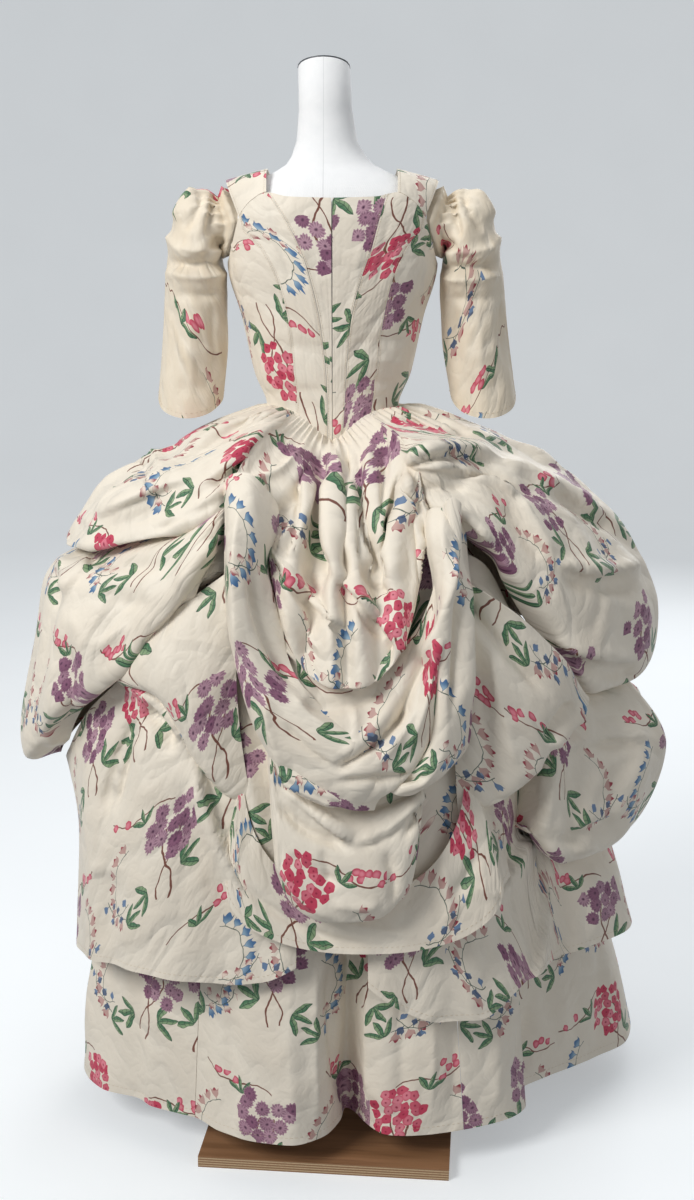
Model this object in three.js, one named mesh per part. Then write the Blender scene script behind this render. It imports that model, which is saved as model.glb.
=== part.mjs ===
// A robe a la polonaise on a limbless stand, in millimetres. +Z is up and the wearer faces +Y.
// The origin is the underside of the base board, on the axis of the pole.
// The cloth is made of walls: each piece is a grid of outer points and the same grid moved inwards.
// Azimuths are in degrees from the centre back (-Y), positive towards +X.
import * as THREE from 'three';
import { mergeVertices } from 'three/addons/utils/BufferGeometryUtils.js';

// ---- driving sizes ----
const CLOTH = 1.6; // silk with its lining
const SEAM = 0.5; // gap between neighbouring pieces
const FORM_CLEARANCE = 3; // between the form and the gown
const WAIST_SIDE = 1083; // height of the waist seam at the side
const WAIST_POINT_DROP = 42; // the back waist dips to a point
const WAIST_POINT_WIDTH = 34;
const WAIST_FRONT_DROP = 14;
const WAIST_CURVE = 1.6; // how roundly the seam runs into its point
const BOARD = { width: 364, depth: 520, thick: 17, x: 10, y: -4, yaw: -5.5 };
const POLE_RADIUS = 12.5;
const FORM_HIP = 880; // the underside of the form
const NECK_TOP = 1555;
const NECK_TILT = 0.3; // the top of the neck slopes down to the front
const NECK_DISC = { radius: 37.5, thick: 1.6, x: -12, y: 30.4 };
const STAND_GAP = 0.3; // between the parts of the stand
const PETTICOAT_TOP = 1030;
const PETTICOAT_HEM = 58;

// ---- helpers ----
const rad = THREE.MathUtils.degToRad;
const deg = THREE.MathUtils.radToDeg;
const lerp = THREE.MathUtils.lerp;
const clamp = THREE.MathUtils.clamp;

// Rows of numbers with named columns.
function table(columns, rows) {
  return rows.map((row) => Object.fromEntries(columns.map((name, i) => [name, row[i]])));
}

// Smooth monotone interpolation of every column of a table along its key column.
function profile(rows, key) {
  const xs = rows.map((row) => row[key]);
  const names = Object.keys(rows[0]);
  const slopes = {};
  for (const name of names) {
    const step = xs.slice(1).map((x, i) => (rows[i + 1][name] - rows[i][name]) / (x - xs[i]));
    slopes[name] = xs.map((_, i) => {
      const before = step[Math.max(i - 1, 0)];
      const after = step[Math.min(i, step.length - 1)];
      if (before * after <= 0) return i === 0 || i === xs.length - 1 ? after || before : 0;
      return (2 * before * after) / (before + after);
    });
  }
  return (value) => {
    const x = clamp(value, xs[0], xs[xs.length - 1]);
    let i = 0;
    while (i < xs.length - 2 && x > xs[i + 1]) i += 1;
    const span = xs[i + 1] - xs[i];
    const t = (x - xs[i]) / span;
    const result = {};
    for (const name of names) {
      const [a, b] = [rows[i][name], rows[i + 1][name]];
      const [ma, mb] = [slopes[name][i] * span, slopes[name][i + 1] * span];
      result[name] = (2 * t ** 3 - 3 * t ** 2 + 1) * a + (t ** 3 - 2 * t ** 2 + t) * ma
        + (3 * t ** 2 - 2 * t ** 3) * b + (t ** 3 - t ** 2) * mb;
    }
    return result;
  };
}

// A smooth line through points, evenly shared between the points: t from 0 to 1.
function through(points, t) {
  const curve = new THREE.CatmullRomCurve3(points, false, 'centripetal');
  return curve.getPoint(clamp(t, 0, 1));
}

const smooth = (t) => THREE.MathUtils.smoothstep(t, 0, 1);
const bump = (x, centre, width) => Math.exp(-(((x - centre) / width) ** 2));

// A closed wall over a grid of outer points. closed: the grid wraps round in u, as a sleeve does.
function wall(point, { nu, nv, closed = false, inwards = 1 }) {
  const columns = closed ? nu : nu + 1;
  const outer = [];
  for (let j = 0; j <= nv; j += 1) {
    for (let i = 0; i < columns; i += 1) outer.push(point(i / nu, j / nv));
  }
  const at = (i, j) => outer[j * columns + (closed ? (i + columns) % columns : clamp(i, 0, nu))];
  const inner = outer.map((p, k) => {
    const [i, j] = [k % columns, Math.floor(k / columns)];
    const du = at(i + 1, j).clone().sub(at(i - 1, j));
    const dv = at(i, Math.min(j + 1, nv)).clone().sub(at(i, Math.max(j - 1, 0)));
    const normal = du.cross(dv).normalize();
    return p.clone().addScaledVector(normal, inwards * CLOTH);
  });
  const positions = [...outer, ...inner].flatMap((p) => [p.x, p.y, p.z]);
  const shift = outer.length;
  const faces = [];
  const quad = (a, b, c, d) => faces.push(a, b, c, a, c, d);
  const id = (i, j) => j * columns + (i % columns);
  const spans = closed ? columns : nu;
  for (let j = 0; j < nv; j += 1) {
    for (let i = 0; i < spans; i += 1) {
      const [a, b, c, d] = [id(i, j), id(i + 1, j), id(i + 1, j + 1), id(i, j + 1)];
      quad(a, d, c, b);
      quad(a + shift, b + shift, c + shift, d + shift);
    }
  }
  for (let i = 0; i < spans; i += 1) {
    quad(id(i, 0), id(i + 1, 0), id(i + 1, 0) + shift, id(i, 0) + shift);
    quad(id(i + 1, nv), id(i, nv), id(i, nv) + shift, id(i + 1, nv) + shift);
  }
  if (!closed) {
    for (let j = 0; j < nv; j += 1) {
      quad(id(0, j + 1), id(0, j), id(0, j) + shift, id(0, j + 1) + shift);
      quad(id(nu, j), id(nu, j + 1), id(nu, j + 1) + shift, id(nu, j) + shift);
    }
  }
  return solid(positions, faces);
}

// Turns the faces of a closed body outwards.
function solid(positions, faces) {
  let volume = 0;
  const v = (k) => new THREE.Vector3().fromArray(positions, 3 * k);
  for (let k = 0; k < faces.length; k += 3) {
    volume += v(faces[k]).dot(v(faces[k + 1]).cross(v(faces[k + 2])));
  }
  if (volume < 0) {
    for (let k = 0; k < faces.length; k += 3) [faces[k], faces[k + 1]] = [faces[k + 1], faces[k]];
  }
  const geometry = new THREE.BufferGeometry();
  geometry.setAttribute('position', new THREE.Float32BufferAttribute(positions, 3));
  geometry.setIndex(faces);
  return geometry;
}

// ---- the figure: the outer face of the bodice, as level sections ----
const FIGURE = profile(table(
  ['z', 'halfWidth', 'back', 'front', 'square', 'middle'],
  [
    [860, 124, 112, 104, 2.2, 0],
    [940, 118, 108, 100, 2.2, 0],
    [1030, 98, 96, 89, 2.3, 0],
    [1083, 96, 96, 88, 2.3, 0],
    [1130, 113, 101, 94, 2.3, 0],
    [1210, 131, 107, 106, 2.3, 0],
    [1283, 150, 111, 105, 2.4, 0],
    [1345, 151, 107, 86, 2.4, 0],
    [1375, 144, 99, 69, 2.4, 0],
    [1396, 120, 83, 56, 2.3, 0],
    [1412, 86, 67, 50, 2.2, -2],
    [1432, 58, 50, 53, 2.1, -5],
    [1455, 47, 35, 58, 2, -8],
    [1500, 40, 20, 60, 2, -10],
    [NECK_TOP, 37, 7, 67, 2, -12],
  ],
), 'z');

// The point of the figure at an azimuth and a height, moved out by grow.
function figure(azimuth, z, grow = 0) {
  const row = FIGURE(z);
  const power = 2 / row.square;
  const half = (row.back + row.front) / 2;
  const [s, c] = [Math.sin(rad(azimuth)), Math.cos(rad(azimuth))];
  const x = row.middle + (row.halfWidth + grow) * Math.sign(s) * Math.abs(s) ** power;
  const y = (row.front - row.back) / 2 - (half + grow) * Math.sign(c) * Math.abs(c) ** power;
  return new THREE.Vector3(x, y, z);
}

// The azimuth at which the back of the figure has this x.
function azimuthAt(x, z) {
  const row = FIGURE(z);
  const s = clamp(Math.abs(x) / row.halfWidth, 0, 1) ** (row.square / 2);
  return Math.sign(x) * deg(Math.asin(s));
}

// Height of the waist seam.
function waist(azimuth) {
  const x = figure(azimuth, WAIST_SIDE).x;
  const front = Math.abs(azimuth) > 90;
  const drop = front ? WAIST_FRONT_DROP : WAIST_POINT_DROP;
  const width = front ? 2 * WAIST_POINT_WIDTH : WAIST_POINT_WIDTH;
  return WAIST_SIDE - drop * Math.exp(-(Math.abs(x / width) ** WAIST_CURVE));
}

// Upper edge of the bodice: neckline, strap seams and armholes.
const BODICE_TOP = profile(table(['azimuth', 'z'], [
  [0, 1371], [20, 1373], [35, 1379], [46, 1368], [56, 1346], [66, 1312], [78, 1289], [90, 1283],
  [104, 1290], [116, 1312], [124, 1340], [132, 1350], [140, 1354], [150, 1312], [165, 1276], [180, 1268],
]), 'azimuth');

// Back seams of the bodice: distance of each from the centre back.
const BACK_SEAMS = profile(table(['z', 'innerLeft', 'innerRight', 'outerLeft', 'outerRight'], [
  [1030, 7, 13, 44, 48],
  [1083, 7, 17, 49, 55],
  [1120, 8, 19, 52, 60],
  [1200, 16, 25, 60, 70],
  [1260, 29, 39, 74, 83],
  [1300, 42, 53, 94, 99],
  [1340, 62, 64, 124, 125],
  [1380, 88, 76, 128, 128],
]), 'z');

const seamAzimuth = (name, sign) => (z) => sign * azimuthAt(BACK_SEAMS(z)[name], z);
const fixed = (azimuth) => () => azimuth;

const ARMPIT = 1300; // where the search for a height starts
const FIT_STEPS = 6;
const BODICE_RADIUS = 100; // turns the gap at a seam into an angle

// A bodice piece between two seams, each an azimuth for every height.
function bodicePiece(from, to) {
  return (u, v) => {
    let z = lerp(WAIST_SIDE, ARMPIT, v);
    let azimuth = 0;
    for (let k = 0; k < FIT_STEPS; k += 1) {
      const [a, b] = [from(z), to(z)];
      const inset = deg(SEAM / 2 / BODICE_RADIUS) * Math.sign(b - a);
      azimuth = lerp(a + inset, b - inset, u);
      z = lerp(waist(azimuth), BODICE_TOP(Math.abs(azimuth)).z, v);
    }
    return figure(azimuth, z);
  };
}

// A shoulder strap, from the back strap seam over the ridge of the shoulder to the front.
const RIDGE_Y = -4;
const STRAP_ROUND = { y: 0.34, z: 0.76, lift: 2 }; // where the strap turns over the shoulder
const STRAP = table(['edge', 'backAzimuth', 'frontAzimuth', 'ridgeX', 'ridgeZ', 'quarterX'], [
  ['neck', 36, 139, 91, 1414, 91],
  ['arm', 56, 124, 150, 1400, 146],
]);

function strap(sign) {
  const [neck, arm] = STRAP;
  return (u, v) => {
    const seam = (azimuth) => figure(azimuth, BODICE_TOP(azimuth).z + 3 * SEAM);
    const back = seam(lerp(neck.backAzimuth, arm.backAzimuth, u));
    const front = seam(lerp(neck.frontAzimuth, arm.frontAzimuth, u));
    const ridge = new THREE.Vector3(lerp(neck.ridgeX, arm.ridgeX, u), RIDGE_Y, lerp(neck.ridgeZ, arm.ridgeZ, u));
    const quarter = (end) => new THREE.Vector3(
      lerp(neck.quarterX, arm.quarterX, u),
      lerp(end.y, ridge.y, STRAP_ROUND.y),
      lerp(end.z, ridge.z, STRAP_ROUND.z) + STRAP_ROUND.lift,
    );
    const p = through([back, quarter(back), ridge, quarter(front), front], v);
    p.x *= sign;
    return p;
  };
}

// ---- sleeves: the armhole first, then rings from the inner to the outer side of the arm ----
const ARMHOLE_GAP = 3.4; // between the sleeve and the bodice
const ARMHOLE_BACK = table(['azimuth', 'z'], [[90, 1284], [70, 1301], [57, 1341]]);
const ARMHOLE_TOP = table(['x', 'y', 'z'], [[151, -40, 1386], [157, -4, 1398], [151, 32, 1384]]);
const ARMHOLE_FRONT = table(['azimuth', 'z'], [[123, 1338], [108, 1298]]);
const SLEEVE_RINGS = table(['innerX', 'innerZ', 'outerX', 'outerZ', 'halfDepth'], [
  [152, 1279, 180, 1402, 69],
  [153, 1270, 201, 1390, 68],
  [153, 1258, 221, 1362, 62],
  [152, 1240, 231, 1322, 55],
  [152, 1212, 239, 1270, 50],
  [152, 1169, 245, 1192, 47],
  [160, 1098, 255, 1096, 46],
]);
const ARM_Y = -2;
const SLEEVE_SWING = { left: 0, right: 12 }; // how far the hem hangs out
const SWING = { from: 1280, length: 180 };
const SLEEVE_PLEATS = { count: 8, height: 3.6, ring: 1.2, reach: 2.4 };
const SLEEVE_HEART = new THREE.Vector3(170, ARM_Y, 1320); // the pleats stand away from here
const HEM_SLOPE = 0.62; // the hem is longer behind the elbow

function armhole(t) {
  const onBodice = (row) => figure(row.azimuth, row.z, ARMHOLE_GAP);
  const top = ARMHOLE_TOP.map((row) => new THREE.Vector3(row.x, row.y, row.z));
  const points = [...ARMHOLE_BACK.map(onBodice), ...top, ...ARMHOLE_FRONT.map(onBodice)];
  const curve = new THREE.CatmullRomCurve3(points, true, 'centripetal');
  return curve.getPoint(t);
}

function sleeve(sign, swing) {
  return (u, v) => {
    const position = v * SLEEVE_RINGS.length;
    const ring = (k) => {
      if (k < 0) return armhole(u);
      const row = SLEEVE_RINGS[k];
      const out = (swing * Math.max(0, SWING.from - row.innerZ)) / SWING.length;
      const inner = new THREE.Vector3(row.innerX + out, ARM_Y, row.innerZ);
      const outer = new THREE.Vector3(row.outerX + out, ARM_Y, row.outerZ);
      const turn = 2 * Math.PI * u;
      const p = inner.clone().lerp(outer, (1 - Math.cos(turn)) / 2);
      p.y -= row.halfDepth * Math.sin(turn);
      if (k === SLEEVE_RINGS.length - 1) p.z += HEM_SLOPE * p.y;
      return p;
    };
    const k = Math.min(Math.floor(position), SLEEVE_RINGS.length - 1);
    const p = ring(k - 1).lerp(ring(k), position - k);
    // pleats run from the armhole over the top of the arm
    const head = Math.sin(Math.PI * u) ** 2
      * smooth(1 - Math.abs(position - SLEEVE_PLEATS.ring) / SLEEVE_PLEATS.reach);
    const pleat = SLEEVE_PLEATS.height * head * Math.sin(2 * Math.PI * SLEEVE_PLEATS.count * u);
    p.addScaledVector(p.clone().sub(SLEEVE_HEART).normalize(), pleat);
    p.x *= sign;
    return p;
  };
}

// ---- the overskirt: folds given section by section, at azimuths on either side ----
const OUT_FOLDS = ['azimuth', 'crownOut', 'crownZ', 'bulgeOut', 'bulgeZ', 'bellyOut', 'bellyZ',
  'rollOut', 'rollZ', 'tuckOut', 'tuckZ'];
const UPPER = {
  left: profile(table(OUT_FOLDS, [
    [31, 150, 1068, 205, 1050, 240, 1028, 258, 1004, 240, 997],
    [45, 170, 1060, 245, 1030, 290, 995, 315, 955, 287, 957],
    [60, 180, 1055, 280, 1006, 335, 960, 362, 910, 330, 918],
    [80, 188, 1052, 300, 985, 360, 935, 392, 888, 352, 897],
    [100, 184, 1048, 290, 985, 342, 935, 374, 888, 336, 897],
    [125, 165, 1038, 240, 985, 285, 935, 308, 888, 276, 897],
    [150, 148, 1026, 205, 975, 240, 928, 262, 880, 236, 888],
  ]), 'azimuth'),
  right: profile(table(OUT_FOLDS, [
    [29, 150, 1068, 208, 1046, 244, 1012, 256, 976, 238, 968],
    [45, 176, 1060, 262, 1022, 320, 955, 330, 893, 298, 896],
    [58, 188, 1056, 310, 990, 375, 880, 378, 765, 342, 770],
    [66, 192, 1055, 335, 972, 412, 845, 408, 692, 366, 700],
    [85, 196, 1052, 385, 940, 474, 800, 466, 700, 424, 707],
    [105, 188, 1046, 350, 945, 430, 815, 424, 712, 384, 719],
    [130, 170, 1036, 285, 950, 344, 835, 342, 735, 304, 742],
    [150, 148, 1026, 238, 945, 285, 845, 284, 752, 252, 758],
  ]), 'azimuth'),
};
const IN_FOLDS = ['azimuth', 'shoulderOut', 'shoulderZ', 'bellyOut', 'bellyZ', 'rollOut', 'rollZ', 'tuckOut', 'tuckZ'];
const LOWER = {
  left: profile(table(IN_FOLDS, [
    [31, 264, 968, 284, 930, 292, 882, 270, 884],
    [40, 306, 930, 338, 885, 345, 822, 315, 826],
    [54, 348, 890, 378, 822, 380, 738, 345, 743],
    [66, 384, 870, 418, 780, 426, 665, 384, 669],
    [84, 412, 850, 438, 745, 466, 562, 412, 568],
    [105, 392, 850, 420, 750, 430, 598, 384, 604],
    [130, 322, 850, 352, 775, 350, 655, 312, 661],
    [150, 274, 845, 300, 790, 300, 712, 266, 718],
  ]), 'azimuth'),
  right: profile(table(IN_FOLDS, [
    [53, 340, 790, 356, 670, 352, 500, 338, 508],
    [60, 372, 720, 396, 600, 384, 448, 352, 458],
    [70, 408, 668, 444, 580, 418, 450, 376, 460],
    [85, 452, 668, 498, 590, 450, 462, 406, 472],
    [105, 418, 680, 460, 605, 426, 490, 384, 500],
    [130, 342, 704, 378, 640, 360, 540, 324, 549],
    [150, 292, 722, 322, 680, 312, 600, 286, 609],
  ]), 'azimuth'),
};
const HANGING = ['azimuth', 'topOut', 'topZ', 'bellyOut', 'bellyZ', 'hemOut', 'hemZ'];
const PANEL = {
  left: profile(table(HANGING, [
    [10, 232, 905, 262, 620, 284, 330],
    [20, 244, 900, 284, 620, 297, 305],
    [31, 262, 878, 302, 600, 314, 298],
    [40, 309, 821, 332, 580, 346, 304],
    [54, 340, 738, 368, 560, 372, 300],
    [66, 379, 664, 393, 520, 392, 284],
    [84, 405, 561, 386, 450, 396, 268],
    [105, 379, 597, 384, 450, 396, 265],
    [130, 307, 656, 342, 470, 352, 280],
    [150, 261, 713, 302, 500, 322, 300],
  ]), 'azimuth'),
  right: profile(table(HANGING, [
    [10, 232, 896, 264, 640, 284, 300],
    [20, 240, 908, 284, 630, 302, 262],
    [29, 241, 946, 296, 620, 318, 244],
    [38, 268, 908, 310, 600, 334, 242],
    [45, 290, 886, 318, 580, 344, 258],
    [53, 314, 790, 320, 560, 352, 282],
    [60, 326, 600, 328, 470, 368, 290],
    [66, 350, 450, 368, 390, 392, 296],
    [85, 398, 464, 432, 400, 462, 300],
    [105, 376, 492, 420, 410, 456, 292],
    [130, 316, 541, 346, 440, 378, 290],
    [150, 278, 601, 302, 470, 326, 306],
  ]), 'azimuth'),
};
const FRONT_EDGE = 150; // the overskirt is open over the front of the petticoat
const BACK_EDGE = { // azimuths of the side widths' back edges
  upper: { left: 31, right: 29 },
  lower: { left: 31, right: 53 },
  panel: { left: 10, right: 10 },
};
const WAIST_GATHERS = { count: 10, depth: 4, reach: 0.34, start: 1 / 12, fade: 1.3 }; // on each side of the back
const BREAKS = { count: 4.3, depth: 7, panelDepth: 4, phase: 1.1 }; // soft hollows that run down the puffs
const TUCK = { in: 5, down: 7 }; // a lower puff starts inside the tuck above it

const polar = (azimuth, out, z) => new THREE.Vector3(
  out * Math.sin(rad(azimuth)), -out * Math.cos(rad(azimuth)), z,
);

// Names the folds of a section in order, and runs a smooth line down through them.
function down(azimuth, row, folds, first, t) {
  const points = folds.map((fold) => polar(azimuth, row[`${fold}Out`], row[`${fold}Z`]));
  return through(first ? [first, ...points] : points, t);
}

// One side width of the overskirt: part is 'upper', 'lower' or 'panel'.
function sideWidth(side, part) {
  const sign = side === 'left' ? -1 : 1;
  return (u, v) => {
    const azimuth = lerp(BACK_EDGE[part][side], FRONT_EDGE, u);
    const wave = Math.sin(2 * Math.PI * BREAKS.count * u + BREAKS.phase)
      + 0.5 * Math.sin(5 * Math.PI * BREAKS.count * u);
    let p;
    if (part === 'upper') {
      const row = UPPER[side](azimuth);
      const seam = figure(azimuth, waist(azimuth) - 2 * SEAM);
      p = down(azimuth, row, ['crown', 'bulge', 'belly', 'roll', 'tuck'], seam, v);
      p.z += WAIST_GATHERS.depth * Math.cos(2 * Math.PI * WAIST_GATHERS.count * u)
        * Math.min(v / WAIST_GATHERS.start, 1) * Math.max(0, 1 - v / WAIST_GATHERS.reach) ** WAIST_GATHERS.fade;
      p.addScaledVector(polar(azimuth, 1, 0), BREAKS.depth * wave * Math.sin(Math.PI * v) ** 2);
    }
    if (part === 'lower') {
      const above = UPPER[side](azimuth);
      const top = polar(azimuth, above.tuckOut - TUCK.in, above.tuckZ - TUCK.down);
      p = down(azimuth, LOWER[side](azimuth), ['shoulder', 'belly', 'roll', 'tuck'], top, v);
      p.addScaledVector(polar(azimuth, 1, 0), BREAKS.depth * wave * Math.sin(Math.PI * v) ** 2);
    }
    if (part === 'panel') {
      p = down(azimuth, PANEL[side](azimuth), ['top', 'belly', 'hem'], null, v);
      p.addScaledVector(polar(azimuth, 1, 0), BREAKS.panelDepth * wave * v ** 2);
    }
    p.x *= sign;
    return p;
  };
}

// ---- the centre back: rows that hang as loops between the two sides ----
const LOOP = ['part', 'middleX', 'halfWidth', 'lowZ', 'endZ', 'lowY', 'endY', 'square'];
const SHELF = ['part', 'middleX', 'lowZ', 'lowY', 'square', 'alongSide'];
const EDGE_GAP = 3.5; // beside the back edges of the side widths
const CENTRE = {
  // these rows end on the back edges of the side widths
  shelf: table(SHELF, [
    ['shelf', 0, 1034, -128, 2, 0.16],
    ['crown', 2, 1006, -178, 2, 0.36],
    ['fall', 6, 945, -236, 2.2, 0.6],
  ]),
  pouf: table(LOOP, [
    ['breast', 10, 106, 872, 1002, -282, -212, 2.4],
    ['belly', 18, 103, 800, 968, -320, -224, 2.6],
    ['roll', 20, 98, 745, 942, -338, -230, 2.4],
    ['tuck', 20, 90, 764, 942, -320, -220, 2.4],
  ]),
  swag: table(LOOP, [
    ['top', 20, 126, 762, 950, -299, -250, 2.2],
    ['face', 20, 136, 700, 972, -334, -260, 2.3],
    ['lip', 21, 146, 628, 984, -352, -268, 2.3],
    ['roll', 21, 158, 590, 976, -346, -266, 2.3],
    ['tuck', 21, 155, 606, 966, -322, -252, 2.3],
    ['return', 21, 148, 640, 950, -296, -240, 2.3],
  ]),
  tail: table(LOOP, [
    ['top', 20, 96, 598, 690, -302, -280, 2.6],
    ['face', 20, 102, 540, 664, -332, -286, 2.8],
    ['low', 20, 103, 470, 630, -344, -288, 3],
    ['roll', 18, 98, 420, 590, -334, -286, 3],
    ['tuck', 18, 94, 434, 590, -314, -278, 3],
    ['return', 18, 90, 462, 590, -296, -274, 3],
  ]),
  hem: table(LOOP, [
    ['top', 30, 150, 440, 610, -294, -268, 2.2],
    ['fall', 38, 172, 405, 540, -300, -274, 2.2],
    ['hem', 45, 190, 361, 448, -306, -278, 2.2],
  ]),
};
// upright folds of the pouf: positive ridges, negative hollows
const PIPES = table(['x', 'width', 'out', 'lean'], [
  [-62, 14, 16, -0.1], [-34, 12, -24, 0], [-4, 12, 14, 0.1], [18, 8, -16, 0.05],
  [42, 13, 12, 0], [62, 9, -18, 0.1], [88, 12, 14, 0.25],
]);
const PIPE_SPREAD = { narrow: 0.4, grow: 0.7, lean: 60 }; // the pipes fan out on their way down
const PIPE_FADE = { from: 0.12, length: 0.8 };
const POUF_GATHERS = { count: 8, depth: 3, start: 1 / 12, reach: 0.25 };
const POUF_SHARE = 0.985; // of the waist between the side widths

// The ends of the swag hook in towards the two points where the skirt is drawn up.
const HOOK = { from: 60, inwards: 9, back: 4, sharp: 1.5 };

// The point of a row: turn runs from -90 at the left end to +90 at the right end.
function loop(row, turn) {
  const power = 2 / row.square;
  const [s, c] = [Math.sin(rad(turn)), Math.abs(Math.cos(rad(turn)))];
  const sag = c ** power;
  return new THREE.Vector3(
    row.middleX + row.halfWidth * Math.sign(s) * Math.abs(s) ** power,
    lerp(row.endY, row.lowY, sag),
    lerp(row.endZ, row.lowZ, sag),
  );
}

// The same, between the back edges of the two side widths.
function shelfLoop(row, turn) {
  const side = turn < 0 ? 'left' : 'right';
  const end = sideWidth(side, 'upper')(0, row.alongSide);
  end.x -= Math.sign(end.x) * EDGE_GAP;
  end.z -= EDGE_GAP / 2;
  const power = 2 / row.square;
  const sag = Math.abs(Math.cos(rad(turn))) ** power;
  return new THREE.Vector3(
    row.middleX + (end.x - row.middleX) * Math.abs(Math.sin(rad(turn))) ** power,
    lerp(end.y, row.lowY, sag),
    lerp(end.z, row.lowZ, sag),
  );
}

function centreWidth(part) {
  return (u, v) => {
    const turn = lerp(-90, 90, u);
    const points = CENTRE[part].map((row) => loop(row, turn));
    if (part === 'swag') {
      const hook = smooth((Math.abs(turn) - HOOK.from) / (90 - HOOK.from)) ** HOOK.sharp;
      for (const point of points) {
        point.x -= Math.sign(turn) * HOOK.inwards * hook;
        point.y += HOOK.back * hook;
      }
    }
    if (part === 'pouf') {
      points.unshift(...CENTRE.shelf.map((row) => shelfLoop(row, turn)));
      const azimuth = lerp(-BACK_EDGE.upper.left, BACK_EDGE.upper.right, u) * POUF_SHARE;
      points.unshift(figure(azimuth, waist(azimuth) - 2 * SEAM));
    }
    const p = through(points, v);
    if (part === 'pouf') {
      const fade = Math.sin(Math.PI * clamp((v - PIPE_FADE.from) / PIPE_FADE.length, 0, 1)) ** 0.8
        * Math.cos(rad(turn)) ** 0.7;
      for (const pipe of PIPES) {
        const middle = pipe.x * (PIPE_SPREAD.narrow + PIPE_SPREAD.grow * v) + pipe.lean * PIPE_SPREAD.lean * v;
        p.y -= fade * pipe.out * bump(p.x, middle, pipe.width);
      }
      p.z += POUF_GATHERS.depth * Math.cos(2 * Math.PI * POUF_GATHERS.count * u)
        * Math.min(v / POUF_GATHERS.start, 1) * Math.max(0, 1 - v / POUF_GATHERS.reach) * Math.cos(rad(turn));
    }
    return p;
  };
}

// ---- the petticoat: one ring of flutes, cut into its widths ----
const HEM_RING = profile(table(['azimuth', 'body', 'flute'], [
  [-180, 292, 0], [-165, 296, 12], [-150, 312, -10], [-135, 335, 12], [-120, 355, -10], [-104, 376, 8],
  [-92, 388, -12], [-81, 388, 8], [-70, 376, 0], [-62, 350, -18], [-56, 330, -6], [-44, 302, -10], [-33, 292, 4],
  [-24, 288, 8], [-12, 284, 6], [-3, 278, -18], [3, 275, -58], [6, 275, -90], [9, 275, -80], [12, 275, -46],
  [16, 276, -12], [20, 279, -4], [27, 286, 2], [38, 300, 8], [48, 318, 12], [57, 340, 0], [66, 352, -38],
  [74, 368, -26], [85, 396, 18], [92, 410, 62], [99, 412, 84], [108, 404, 104], [116, 384, 70], [128, 352, 16],
  [142, 325, -8], [155, 305, 12], [168, 296, -4], [180, 292, 0],
]), 'azimuth');
const SKIRT_FALL = profile(table(['z', 'share', 'flute'], [
  [PETTICOAT_HEM, 1, 1], [200, 0.94, 0.8], [350, 0.86, 0.48], [500, 0.78, 0.16], [650, 0.69, 0.02],
  [800, 0.56, 0], [880, 0.46, 0], [950, 0.3, 0], [1000, 0.13, 0], [PETTICOAT_TOP, 0, 0],
]), 'z');
const FAN = 3;
const FRONT_WIDTH_EDGE = 150; // between these azimuths the petticoat rises to the waist seam
const PETTICOAT_ROWS = [PETTICOAT_TOP, 990, 900, 720, 400, 210, PETTICOAT_HEM];

function petticoatPoint(azimuth, z) {
  const ring = HEM_RING(azimuth > 180 ? azimuth - 360 : azimuth);
  const fall = SKIRT_FALL(z);
  const top = figure(azimuth, PETTICOAT_TOP);
  const out = lerp(Math.hypot(top.x, top.y), ring.body, fall.share) + ring.flute * fall.flute;
  const near = azimuth > 180 ? azimuth - 360 : azimuth;
  // the top follows the body, the rest fans out evenly
  return polar(lerp(deg(Math.atan2(top.x, -top.y)), near, smooth(fall.share * FAN)), out, z);
}

function petticoatWidth(from, to) {
  return (u, v) => {
    const k = v * (PETTICOAT_ROWS.length - 1);
    const low = Math.min(Math.floor(k), PETTICOAT_ROWS.length - 2);
    const z = lerp(PETTICOAT_ROWS[low], PETTICOAT_ROWS[low + 1], k - low);
    const plain = petticoatPoint(lerp(from, to, u), z);
    const inset = deg(SEAM / Math.hypot(plain.x, plain.y));
    const azimuth = lerp(from + inset, to - inset, u);
    if (v === 0 && from === FRONT_WIDTH_EDGE) return figure(azimuth, waist(azimuth) - 3 * SEAM);
    return petticoatPoint(azimuth, z);
  };
}

// ---- the stand ----
const TORSO_HEIGHTS = [FORM_HIP, 960, 1030, 1083, 1130, 1210, 1283, 1345, 1375, 1396, 1412, 1421, 1432, 1455,
  1500, NECK_TOP];
const SHOULDER = { low: 1350, high: 1425, in: 4 }; // the form is slimmer under the straps
const BARE_FROM = 1440; // above this the form shows, at its own size
const NECK_PIVOT = 30;

function torso() {
  const sides = 24;
  const positions = [];
  const faces = [];
  TORSO_HEIGHTS.forEach((z) => {
    const shoulder = z > SHOULDER.low && z < SHOULDER.high ? SHOULDER.in : 0;
    const covered = clamp((NECK_TOP - z) / (NECK_TOP - BARE_FROM), 0, 1);
    const grow = -(CLOTH + FORM_CLEARANCE) * covered - shoulder;
    for (let i = 0; i < sides; i += 1) {
      const p = figure((360 * i) / sides - 180, z, grow);
      if (z === NECK_TOP) p.z -= NECK_TILT * (p.y - NECK_PIVOT);
      positions.push(p.x, p.y, p.z);
    }
  });
  const ring = (j, i) => j * sides + (i % sides);
  for (let j = 0; j < TORSO_HEIGHTS.length - 1; j += 1) {
    for (let i = 0; i < sides; i += 1) {
      faces.push(ring(j, i), ring(j, i + 1), ring(j + 1, i + 1), ring(j, i), ring(j + 1, i + 1), ring(j + 1, i));
    }
  }
  const last = TORSO_HEIGHTS.length - 1;
  for (let i = 1; i < sides - 1; i += 1) {
    faces.push(ring(0, 0), ring(0, i + 1), ring(0, i));
    faces.push(ring(last, 0), ring(last, i), ring(last, i + 1));
  }
  return solid(positions, faces);
}

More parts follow.
